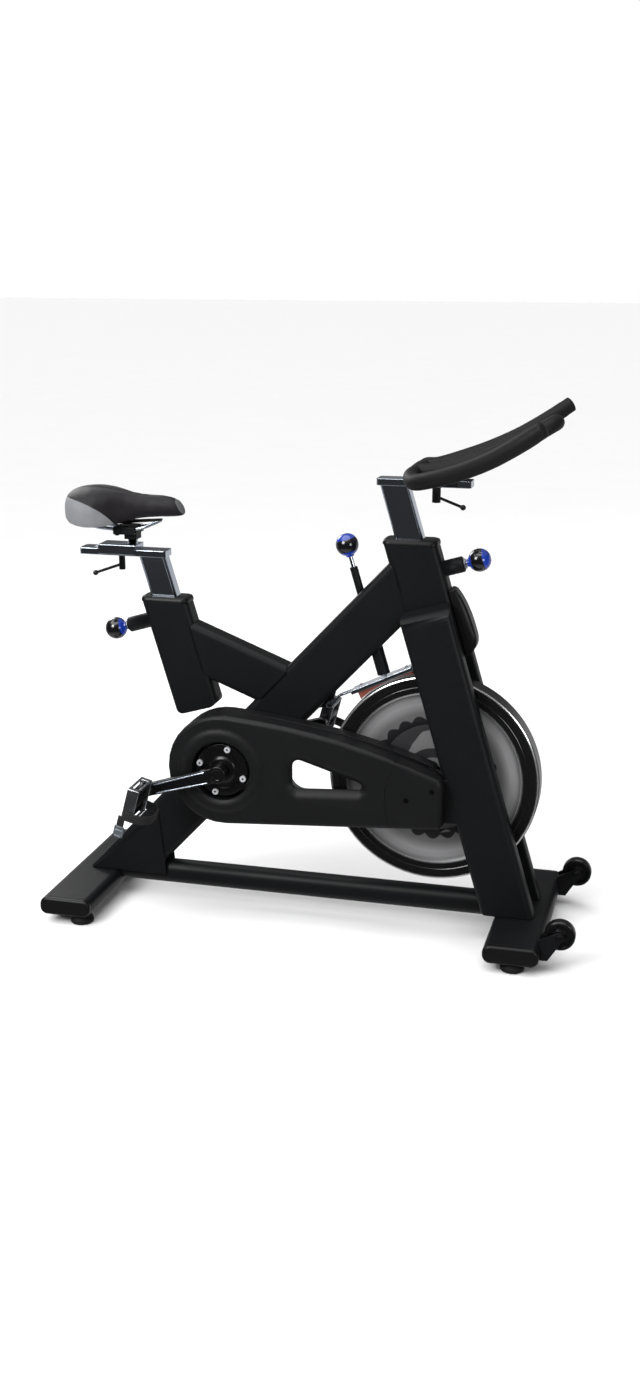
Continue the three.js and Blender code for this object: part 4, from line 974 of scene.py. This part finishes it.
@dataclass
class TransportWheels:
    """Two wheels at the front with gloss black axle bolt heads."""

    shop: Workshop
    x: float = 753.0
    z: float = 81.0
    y: float = 176.0
    radius: float = 32.5
    half: float = 12.0

    def tyre(self, side: int) -> Shape:
        """One wheel: side is -1 on the right."""
        r, h = self.radius, self.half
        profile = [
            (4.4, -h), (12, -h), (14, -h + 4), (r - 10, -h + 4), (r - 8, -h + 0.6), (r - 3.5, -h + 0.4),
            (r - 0.6, -h + 3), (r, -h + 6), (r, h - 6), (r - 0.6, h - 3), (r - 3.5, h - 0.4),
            (r - 8, h - 0.6), (r - 10, h - 4), (14, h - 4), (12, h), (4.4, h),
        ]
        return lathe(profile, (self.x, side * self.y, self.z), ACROSS, 72)

    def build(self) -> None:
        """Builds both wheels and their bolts."""
        finishes = self.shop.finishes
        for side, body, label in ((-1, Body.RIGHT_WHEEL, "right"), (1, Body.LEFT_WHEEL, "left")):
            node = f"transport_wheel_{label}"
            dress = Dress(finishes.gloss, "black_rubber", body, (node,), smooth=30)
            self.shop.finish(f"{node}_turned", self.tyre(side), dress)
        places = [
            ((self.x, side * self.y + end * 23.2, self.z), ACROSS) for side in (-1, 1) for end in (-1, 1)
        ]
        dress = Dress(finishes.gloss, "steel", Body.FRAME, smooth=20)
        self.shop.repeat("wheel_bolt_heads", Blank.HEXAGON, (7.4, 3.0), places, dress)


@dataclass
class Guard:
    """The belt guard with its front cover, black discs painted as the shade in its screw recesses, and the belt
    inside.
    """

    shop: Workshop
    near: float = -110.0
    screws: tuple[tuple[float, float], ...] = ((411, 320), (466, 344))

    def build(self) -> None:
        """Builds the guard."""
        finishes = self.shop.finishes
        for node in ("guard_shell", "guard_front_cover", "guard_back"):
            self.shop.polish(node, finishes.guard, "black_plastic", 44.0)
        self.shop.polish("drive_belt", finishes.rubber, "black_rubber")
        self.shop.polish("drive_pulley", finishes.steel, "steel")
        # Thin black discs on the shell are painted shade for the screw recesses, not screw heads.
        heads = [((x, self.near - 0.1, z), ACROSS) for x, z in self.screws]
        dress = Dress(finishes.hollow, "black_plastic", Body.FRAME, smooth=20)
        self.shop.repeat("guard_screw_recess_shade", Blank.ROUND, (5.6, 0.8), heads, dress)


@dataclass
class Flywheel:
    """Rim, dished web and hub, the driven pulley, and the axle with its nuts."""

    shop: Workshop

    def disc(self) -> Shape:
        """The wheel itself."""
        side = [
            (28, -44), (28, -16), (31, -13.5), (116, -9), (119, -8.2), (121, -9.6), (130, -12), (160, -16),
            (184, -18.5), (189, -21), (192, -22.6), (196, -23), (206, -23), (207, -22.4), (208, -23),
            (226.5, -23), (228.8, -21.8), (230, -19.5),
        ]
        other = [(r, -y) for r, y in reversed(side)]
        return lathe([(8.4, -44), *side, *other, (8.4, 44)], FLYWHEEL_CENTRE, ACROSS, 192)

    def pulley(self) -> Shape:
        """The grooved pulley on the hub's right end."""
        low, high, width = 28.0, 30.0, 61.8
        profile = [(8.4, -62), (20, -62), (20.5, -60), (high - 4, -60), (high, -width), (high, -60.4), (low, -60.2)]
        for rib in range(5):
            y = -59.4 + rib * 1.9
            profile += [(low, y), (low - 1.2, y + 0.9)]
        profile += [(low, -49.8), (high, -49.6), (high, -48.2), (16, -48.2), (16, -44.1), (8.4, -44.1)]
        return lathe(profile, FLYWHEEL_CENTRE, ACROSS, 72)

    def build(self) -> None:
        """Builds the flywheel."""
        finishes = self.shop.finishes
        dress = Dress(finishes.flywheel, "flywheel_metal", Body.FLYWHEEL, ("flywheel",), smooth=24)
        self.shop.finish("flywheel_turned", self.disc(), dress)
        self.shop.finish("driven_pulley", self.pulley(), Dress(finishes.steel, "steel", Body.FLYWHEEL, smooth=24))
        self.shop.polish("flywheel_axle", finishes.steel, "steel")


@dataclass
class Cranks:
    """Crank arms, the disc with its bolts, spindle and bearings."""

    shop: Workshop
    outer: float = -140.0
    bolt_circle: float = 51.0

    def on_arm(self, along: float, across: float, y: float, side: int) -> Point:
        """A point on a crank arm in the machine's frame, side -1 for the right arm."""
        turn = CRANK_ANGLE if side < 0 else CRANK_ANGLE - math.pi
        x = along * math.cos(turn) - across * math.sin(turn)
        z = along * math.sin(turn) + across * math.cos(turn)
        return (x, -side * y, CRANK_HEIGHT + z)

    def arm(self, side: int) -> Shape:
        """One arm with its boss and rounded edges."""
        outline: list[tuple[float, float]] = []
        for k in range(25):
            t = math.pi / 2 + math.pi * k / 24
            outline.append((17 * math.cos(t), 17 * math.sin(t)))
        for k in range(25):
            t = -math.pi / 2 + math.pi * k / 24
            outline.append((CRANK_LENGTH + 13.5 * math.cos(t), 13.5 * math.sin(t)))
        plate = slab(outline, self.outer, -123.0, 2.0)
        boss_profile = [(10.4, -108.2), (18, -108.2), (19, -110), (19, -139.5), (17.5, -141)]
        boss_profile += [(12, -141), (10.4, -139.5)]
        boss = lathe(boss_profile, (0, 0, 0), ACROSS, 64)
        spindle_profile = [(0, -236), (6, -236), (7, -235), (7, -150), (10.5, -149), (10.5, -142), (13, -141.2)]
        spindle_profile += [(13, -139), (0, -139)]
        spindle = lathe(spindle_profile, (CRANK_LENGTH, 0, 0), ACROSS, 40)
        whole = together(plate, boss, spindle)
        turn = CRANK_ANGLE if side < 0 else CRANK_ANGLE - math.pi
        matrix = Matrix.Translation((0, 0, CRANK_HEIGHT)) @ Matrix.Rotation(-turn, 4, "Y")
        if side > 0:
            matrix = matrix @ Matrix.Diagonal((1, -1, 1, 1))
        return moved(whole, matrix)

    def ridges(self, side: int) -> Shape:
        """The two bright ridges along the arm's outside."""
        parts = []
        for across in (-1, 1):
            start = self.on_arm(26, across * 12.2, self.outer - 0.2, side)
            end = self.on_arm(CRANK_LENGTH - 20, across * 9.6, self.outer - 0.2, side)
            path = [Vector(start).lerp(Vector(end), k / 8) for k in range(9)]
            parts.append(sweep(path, [1.3] * 9, 12))
        return together(*parts)

    def disc(self) -> Shape:
        """The round plate behind the right arm."""
        profile = [
            (10.5, -107), (24, -107), (28, -105.6), (31, -103.2), (40, -102.4), (42, -103.4), (56, -104),
            (58.6, -103.2), (59.9, -101), (59.9, -98), (58.6, -97), (10.5, -97),
        ]
        return lathe(profile, (0, 0, CRANK_HEIGHT), ACROSS, 128)

    def bolts(self) -> None:
        """The four socket-head bolts of the disc, each with a thin black hexagon on its head painted as the shade in
        its socket.
        """
        finishes = self.shop.finishes
        spots = []
        for quarter in range(4):
            turn = math.radians(73.6) + quarter * math.pi / 2
            spots.append((self.bolt_circle * math.cos(turn), CRANK_HEIGHT + self.bolt_circle * math.sin(turn)))
        zinc = Dress(finishes.zinc, "steel", Body.CRANKS, smooth=20)
        black = Dress(finishes.gloss, "black_plastic", Body.CRANKS, smooth=20)
        for name, blank, size, y, dress in (
            ("washers", Blank.ROUND, (8.4, 1.2), -104.4, black),
            ("heads", Blank.ROUND, (6.8, 5.2), -107.0, zinc),
            # thin black hexagon on each head: painted shade standing in for the hollow of the hex socket
            ("sockets", Blank.HEXAGON, (2.4, 0.4), -109.7, black),
        ):
            places = [((x, y, z), ACROSS) for x, z in spots]
            self.shop.repeat(f"disc_bolt_{name}", blank, size, places, dress)

    def build(self) -> None:
        """Builds the cranks."""
        finishes = self.shop.finishes
        for side, label in ((-1, "right"), (1, "left")):
            dress = Dress(finishes.gloss, "black_paint", Body.CRANKS, (f"crank_arm_{label}",), smooth=30)
            self.shop.finish(f"crank_arm_{label}_forged", self.arm(side), dress)
            bright = Dress(finishes.chrome, "steel", Body.CRANKS, smooth=60)
            self.shop.finish(f"crank_arm_{label}_ridges", self.ridges(side), bright)
        dress = Dress(finishes.gloss, "black_plastic", Body.CRANKS, ("crank_disc",), smooth=24)
        self.shop.finish("crank_disc_turned", self.disc(), dress)
        self.bolts()
        self.shop.polish("crank_spindle", finishes.steel, "steel")
        for node in ("crank_bearing_right", "crank_bearing_left"):
            self.shop.polish(node, finishes.steel, "steel")


@dataclass
class Pedals:
    """Both pedals: a black body in an alloy cage, with a toe strap and its buckle."""

    shop: Workshop
    width: float = 84.0
    length: float = 74.0
    thick: float = 26.0
    y: float = 200.0
    lean: float = math.radians(15.0)

    def matrix(self, side: int) -> Matrix:
        """The pedal's place in the machine's frame, side -1 for the right one."""
        x, z = CRANK_LENGTH * math.cos(CRANK_ANGLE), CRANK_LENGTH * math.sin(CRANK_ANGLE)
        where = Matrix.Translation((-side * x, side * self.y, CRANK_HEIGHT - side * z))
        turned = where @ Matrix.Rotation(math.pi / 2 + self.lean, 4, "Y")
        return turned @ Matrix.Diagonal((1, 1 if side < 0 else -1, 1, 1))

    def cage(self) -> Shape:
        """Alloy side plates and end bars round the body."""
        half, long, high = self.width / 2, self.length / 2, self.thick / 2
        parts = []
        for y in (-half, half - 3.6):
            parts.append(rounded_box((-long, y, -high), (long, y + 3.6, high), 1.2))
        for x in (-long, long - 3.2):
            for z in (-high, high - 5.5):
                parts.append(rounded_box((x, -half + 2, z), (x + 3.2, half - 2, z + 5.5), 1.1))
        for y in (-half + 2, half - 14):
            for x in (-long, long - 3.2):
                parts.append(rounded_box((x, y, -high), (x + 3.2, y + 12, high), 1.1))
        return together(*parts)

    def core(self) -> Shape:
        """The moulded body and its bearing barrel."""
        half = self.width / 2
        barrel = [(7.4, 1 - half), (12, 1 - half), (12.5, 3 - half)]
        barrel += [(radius, -y) for radius, y in reversed(barrel)]
        parts = [
            rounded_box((-27, -half + 4, -9), (-22, half - 4, 9), 1.5),
            rounded_box((22, -half + 4, -9), (27, half - 4, 9), 1.5),
            rounded_box((-27, -half + 4, -8), (27, -half + 12, 8), 1.5),
            rounded_box((-27, half - 12, -8), (27, half - 4, 8), 1.5),
            rounded_box((-27, -16, -6), (27, -12, 6), 1.0),
            rounded_box((-27, 12, -6), (27, 16, 6), 1.0),
            lathe(barrel, (0, 0, 0), ACROSS, 40),
        ]
        return together(*parts)

    def strap(self) -> Shape:
        """The webbing strap over the pedal."""
        half = self.width / 2 + 0.4
        top = self.thick / 2 + 34
        path = smooth_path(
            [
                (24, half + 1.2, -8), (24, half + 2.4, 14), (24, half - 4, 34), (24, half - 22, top),
                (24, 0, top + 1.2), (24, 22 - half, top), (24, 4 - half, 34), (24, -half - 2.4, 14),
                (24, -half - 1.2, -8),
            ],
            8,
        )
        section = [(-10, -1.0), (-9.2, -1.2), (9.2, -1.2), (10, -1.0), (10, 1.0), (9.2, 1.2), (-9.2, 1.2), (-10, 1.0)]
        bm = bmesh.new()
        rings = []
        for index, point in enumerate(path):
            ahead = path[min(index + 1, len(path) - 1)]
            behind = path[max(index - 1, 0)]
            heading = (ahead - behind).normalized()
            normal = Vector((1, 0, 0)).cross(heading)
            rings.append([bm.verts.new(point + Vector((u, 0, 0)) + normal * v) for u, v in section])
        skin(bm, rings)
        return bm

    def buckle(self) -> Shape:
        """The metal buckle on the strap's hanging tail."""
        y = -self.width / 2 + 1
        return together(
            rounded_box((52, y - 3, -22), (78, y, -18), 0.9),
            rounded_box((52, y - 3, -4), (78, y, 0), 0.9),
            rounded_box((52, y - 3, -22), (56, y, 0), 0.9),
            rounded_box((74, y - 3, -22), (78, y, 0), 0.9),
            rounded_box((60, y - 5.0, -20), (64, y - 1, -2), 1.2),
            rounded_box((55, y - 1.6, -19), (75, y - 0.4, -3), 0.4),
        )

    def tail(self) -> Shape:
        """The strap's free end, from under the cage to the buckle."""
        y = -self.width / 2 - 1
        return rounded_box((28, y - 0.2, -19), (56, y + 2.0, -3), 0.8)

    def build(self) -> None:
        """Builds both pedals."""
        finishes = self.shop.finishes
        for side, body, label in ((-1, Body.RIGHT_PEDAL, "right"), (1, Body.LEFT_PEDAL, "left")):
            place = self.matrix(side)
            strap = together(self.strap(), self.tail())
            for name, shape, material, slot, replaced in (
                (f"pedal_cage_{label}", self.cage(), finishes.alloy, "steel", (f"pedal_{label}",)),
                (f"pedal_body_{label}", self.core(), finishes.plastic, "steel", ()),
                (f"toe_strap_{label}_woven", strap, finishes.webbing, "webbing", (f"toe_strap_{label}",)),
                (f"strap_buckle_{label}", self.buckle(), finishes.buckle, "steel", ()),
            ):
                self.shop.finish(name, moved(shape, place), Dress(material, slot, body, replaced))


@dataclass
class Knobs:
    """The three ball knobs: on the brake rod and on both spring pins."""

    shop: Workshop
    radius: float = 24.4

    def ball(self, centre: Vector, out: Vector, neck: float) -> Shape:
        """A ball with a flat at each end of its axis and a neck towards its shaft."""
        profile = [(0.0, self.radius - 0.8)]
        for k in range(1, 40):
            t = math.pi * k / 40
            r, d = self.radius * math.sin(t), self.radius * math.cos(t)
            if r > 7 and not (d < 0 and r < 9.5):
                profile.append((r, min(d, self.radius - 0.8)))
        profile += [(9.0, -self.radius + 1.2), (8.6, -self.radius - neck), (0.0, -self.radius - neck)]
        return lathe(profile, tuple(centre), out, 64)

    def build(self) -> None:
        """Builds the knobs and the shafts of the spring pins."""
        finishes = self.shop.finishes
        for name, node, centre, out, body, outer in (
            ("brake_ball", "brake_knob", Vector((254, 0, 841)) + 1.5 * TUBE_AXIS, TUBE_AXIS, Body.BRAKE_DIAL, 0.5),
            ("seat_pin_ball", "seat_pin", SEAT_PIN - 138.5 * TUBE_FORWARD, -TUBE_FORWARD, Body.SEAT_PIN, 1.4),
            ("handlebar_pin_ball", "handlebar_pin", BAR_PIN + 130 * TUBE_FORWARD, TUBE_FORWARD, Body.BAR_PIN, 0.42),
        ):
            finish = KnobFinish(f"{name}_finish", tuple(centre), tuple(out), self.radius, outer).build()
            dress = Dress(finish, "gloss_black", body, (node,), smooth=30)
            self.shop.finish(name, self.ball(centre, out, 1.5), dress)
        for name, centre, out, body, reach in (
            ("seat_pin_shaft", SEAT_PIN, -TUBE_FORWARD, Body.SEAT_PIN, 118.0),
            ("handlebar_pin_shaft", BAR_PIN, TUBE_FORWARD, Body.BAR_PIN, 108.0),
        ):
            profile = [(0, 29.8), (3.6, 29.8), (4.9, 33), (4.9, reach), (0, reach)]
            self.shop.finish(name, lathe(profile, tuple(centre), out, 32), Dress(finishes.steel, "gloss_black", body))
        for name, centre, out, end in (
            ("seat_barrel_nut", SEAT_PIN, -TUBE_FORWARD, 106.0),
            ("handlebar_barrel_nut", BAR_PIN, TUBE_FORWARD, 97.0),
        ):
            steps = [(5.5, 0.2), (11, 0.2), (12, 1), (12, 3), (10.5, 4.4), (5.5, 4.4)]
            profile = [(radius, end + step) for radius, step in steps]
            dress = Dress(finishes.steel, "black_paint", Body.FRAME, smooth=15)
            self.shop.finish(name, lathe(profile, tuple(centre), out, 6), dress)


@dataclass
class Brake:
    """The brake rod, its spring arm and felt pad."""

    shop: Workshop

    def build(self) -> None:
        """Builds the brake."""
        finishes = self.shop.finishes
        self.shop.polish("brake_rod", finishes.chrome, "steel")
        self.shop.polish("brake_arm", finishes.chrome, "chrome")
        self.shop.polish("brake_pad", finishes.felt, "felt")
        slope = math.radians(25.2)
        along = Vector((math.cos(slope), 0, math.sin(slope)))
        up = Vector((-math.sin(slope), 0, math.cos(slope)))
        pivot = Vector((218, 0, 489))
        spots = [pivot + along * d + up * 14.0 + Vector((0, y, 0)) for d in (78, 188) for y in (-12, 12)]
        self.shop.repeat(
            "arm_rivets",
            Blank.BEAD,
            (3.4, 1.8),
            [(tuple(s), up) for s in spots],
            Dress(finishes.steel, "steel", Body.BRAKE_ARM, smooth=60),
        )


@dataclass
class Saddle:
    """The padded saddle with its base, wires, clamp, carriage and post."""

    shop: Workshop
    half: float = 100.0
    voxel: float = 0.0046
    swell: float = 0.0035

    def rings(self) -> list[tuple[float, float, float, float, float]]:
        """Sections along the pad: x, half width, top, bottom and the rise of the hollow underneath."""
        return [
            (SADDLE_REAR + 2.5, 0.3, 925, 896, 0), (SADDLE_REAR + 5, 0.5, 933, 886, 0),
            (SADDLE_REAR + 12, 0.74, 939, 872, 6), (SADDLE_REAR + 24, 0.88, 942, 863, 12),
            (SADDLE_REAR + 40, 0.965, 943, 857, 18), (SADDLE_REAR + 62, 0.99, 943, 852, 26),
            (SADDLE_REAR + 84, 0.94, 941, 851, 30), (SADDLE_REAR + 104, 0.8, 938, 853, 30),
            (SADDLE_REAR + 122, 0.62, 935, 860, 22), (SADDLE_REAR + 140, 0.46, 932, 868, 14),
            (SADDLE_REAR + 160, 0.36, 930, 877, 6), (SADDLE_REAR + 184, 0.29, 929.5, 883, 2),
            (SADDLE_REAR + 210, 0.255, 929, 887, 0), (SADDLE_REAR + 234, 0.235, 927, 888, 0),
            (SADDLE_REAR + 250, 0.21, 922, 889, 0), (SADDLE_NOSE - 9, 0.17, 914, 889.5, 0),
            (SADDLE_NOSE - 4, 0.11, 905, 892, 0),
        ]

    def pad_shape(self) -> Shape:
        """The pad before it is stuffed."""
        bm = bmesh.new()
        rows = []
        for x, share, top, bottom, hollow in self.rings():
            half = share * (self.half - 3)
            row = []
            for k in range(48):
                t = 2 * math.pi * k / 48
                c, s = math.cos(t), math.sin(t)
                square = 0.78 if s > 0 else 0.55
                y = half * math.copysign(abs(c) ** square, c)
                z = (top + bottom) / 2 + (top - bottom) / 2 * math.copysign(abs(s) ** square, s)
                across = abs(y) / half
                z -= 4.0 * across**2 if s > 0 else -hollow * min(1.0, 1.6 * (1.0 - across))
                row.append(bm.verts.new((x, y, z)))
            rows.append(row)
        skin(bm, rows)
        return bm

    def stuffed(self, pad: bpy.types.Object) -> None:
        """Swells the pad under pressure, holding its underside and capping the movement."""
        remesh = pad.modifiers.new("remesh", "REMESH")
        remesh.mode = "VOXEL"
        remesh.voxel_size = self.voxel
        self.apply(pad)
        rest = corners_of(pad.data)
        cloth = pad.modifiers.new("stuffing", "CLOTH")
        settings = cloth.settings
        settings.use_pressure = True
        settings.uniform_pressure_force = 4.0
        settings.effector_weights.gravity = 0.0
        settings.tension_stiffness = settings.compression_stiffness = 30.0
        for number in range(1, 21):
            bpy.context.scene.frame_set(number)
        self.apply(pad)
        bpy.context.scene.frame_set(1)
        move = corners_of(pad.data) - rest
        length = np.linalg.norm(move, axis=1, keepdims=True)
        move *= np.minimum(1.0, self.swell / np.maximum(length, 1e-9))
        hold = np.clip((rest[:, 2:3] - 0.875) / 0.03, 0.1, 1.0)
        pad.data.vertices.foreach_set("co", (rest + move * hold).ravel())
        pad.data.update()

    @staticmethod
    def apply(piece: bpy.types.Object) -> None:
        """Replaces a piece's mesh with its evaluated one and drops its modifiers."""
        mesh = evaluated(piece)
        piece.modifiers.clear()
        old = piece.data
        piece.data = mesh
        bpy.data.meshes.remove(old)

    def channel(self, pad: bpy.types.Object) -> None:
        """Presses the shallow channel along the middle of the top."""
        co = corners_of(pad.data)
        x = co[:, 0] * 1000 + ORIGIN_X
        across = np.exp(-((co[:, 1] * 1000 / 7.5) ** 2))
        start = np.clip((x - SADDLE_REAR - 14) / 26, 0, 1)
        end = np.clip((SADDLE_REAR + 225 - x) / 60, 0, 1)
        top = np.clip((co[:, 2] - 0.912) / 0.008, 0, 1)
        co[:, 2] -= (0.0075 * across * start * end * top).astype(np.float32)
        pad.data.vertices.foreach_set("co", co.ravel())
        pad.data.update()

    def pad(self) -> None:
        """Makes the stuffed cover."""
        finishes = self.shop.finishes
        shape = self.pad_shape()
        bmesh.ops.transform(shape, matrix=TO_METRES, verts=shape.verts)
        pad = stand("saddle_cover", mesh_from("saddle_cover", shape))
        self.stuffed(pad)
        self.channel(pad)
        pad.data.materials.clear()
        pad.data.materials.append(finishes.saddle)
        pad.data.shade_smooth()
        subdivision = pad.modifiers.new("subdivision", "SUBSURF")
        subdivision.levels = subdivision.render_levels = 1
        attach(pad, Body.SADDLE.value)
        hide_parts("saddle_pad")

    def build(self) -> None:
        """Builds the saddle."""
        finishes = self.shop.finishes
        self.pad()
        self.shop.polish("saddle_frame", finishes.plastic, "black_plastic", 50.0)
        self.shop.polish("saddle_clamp", finishes.paint, "black_paint")
        self.shop.polish("seat_post", finishes.chrome, "chrome")
        self.shop.polish("seat_carriage", finishes.chrome, "chrome")
        self.shop.polish("seat_clamp_lever", finishes.gloss, "gloss_black")
        for side in (-1, 1):
            points = [
                (SADDLE_REAR + 46, side * 23, 869), (SADDLE_REAR + 60, side * 22, 861),
                (SADDLE_REAR + 90, side * 20, 857), (-230, side * 20, 856),
                (SADDLE_REAR + 172, side * 20, 862), (SADDLE_REAR + 203, side * 9, 875),
            ]
            path = smooth_path(points, 10)
            name = "saddle_wire_right" if side < 0 else "saddle_wire_left"
            self.shop.finish(
                name, sweep(path, [3.9] * len(path), 20), Dress(finishes.chrome, "steel", Body.SADDLE, smooth=60)
            )


@dataclass
class Handlebar:
    """The multi-grip bar on its carriage, rail and post."""

    shop: Workshop
    radius: float = 17.0
    horn: tuple[Point, ...] = (
        (408, 45, 1007), (407, 92, 1005), (422, 134, 1000), (462, 165, 1010), (526, 197, 1032),
        (589, 225, 1061), (650, 246, 1098), (686, 253.8, 1123),
    )
    inner: tuple[Point, ...] = (
        (408, 46, 1007), (470, 47, 1016), (535, 47, 1036), (600, 46, 1064), (652, 42, 1092), (676, 26, 1106),
        (684, 0, 1110),
    )

    def horns(self) -> Shape:
        """The outer bar from tip to tip."""
        left = [(x, -y, z) for x, y, z in reversed(self.horn)]
        path = smooth_path([*left, (408, 0, 1007), *self.horn], 14)
        last = len(path) - 1
        radii = []
        for index in range(len(path)):
            end = min(index, last - index) / 14
            neck = 1.0 - 0.1 * math.exp(-((end - 6.6) ** 2) / 1.4)
            radii.append(self.radius * neck * (1.0 if end > 0.4 else 0.97))
        return sweep(path, radii, 32)

    def loop(self) -> Shape:
        """The inner bar, forward from the crossbar and round in front."""
        right = [(x, -y, z) for x, y, z in self.inner]
        path = smooth_path([*right[:-1], *reversed(self.inner)], 12)
        return sweep(path, [self.radius - 1] * len(path), 32)

    def build(self) -> None:
        """Builds the handlebar."""
        finishes = self.shop.finishes
        slider = Body.BAR_SLIDER
        self.shop.finish(
            "handlebar_horns", self.horns(), Dress(finishes.foam, "bar_foam", slider, ("handlebar",), smooth=60)
        )
        self.shop.finish("handlebar_loop", self.loop(), Dress(finishes.foam, "bar_foam", slider, smooth=60))
        self.shop.polish("handlebar_carriage", finishes.plastic, "black_plastic")
        self.shop.polish("handlebar_post", finishes.chrome, "chrome")
        self.shop.polish("handlebar_clamp_lever", finishes.gloss, "gloss_black")


def main() -> None:
    """Builds the scene."""
    logging.basicConfig(level=logging.INFO, format="%(name)s: %(message)s")
    for thing in list(bpy.data.objects):
        bpy.data.objects.remove(thing)
    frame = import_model()
    Studio().build()
    shop = Workshop(frame)
    for assembly in (
        Chassis(shop),
        TransportWheels(shop),
        Guard(shop),
        Flywheel(shop),
        Cranks(shop),
        Pedals(shop),
        Knobs(shop),
        Brake(shop),
        Saddle(shop),
        Handlebar(shop),
    ):
        assembly.build()
        LOG.info("%s built", type(assembly).__name__)


if __name__ == "__main__":
    main()
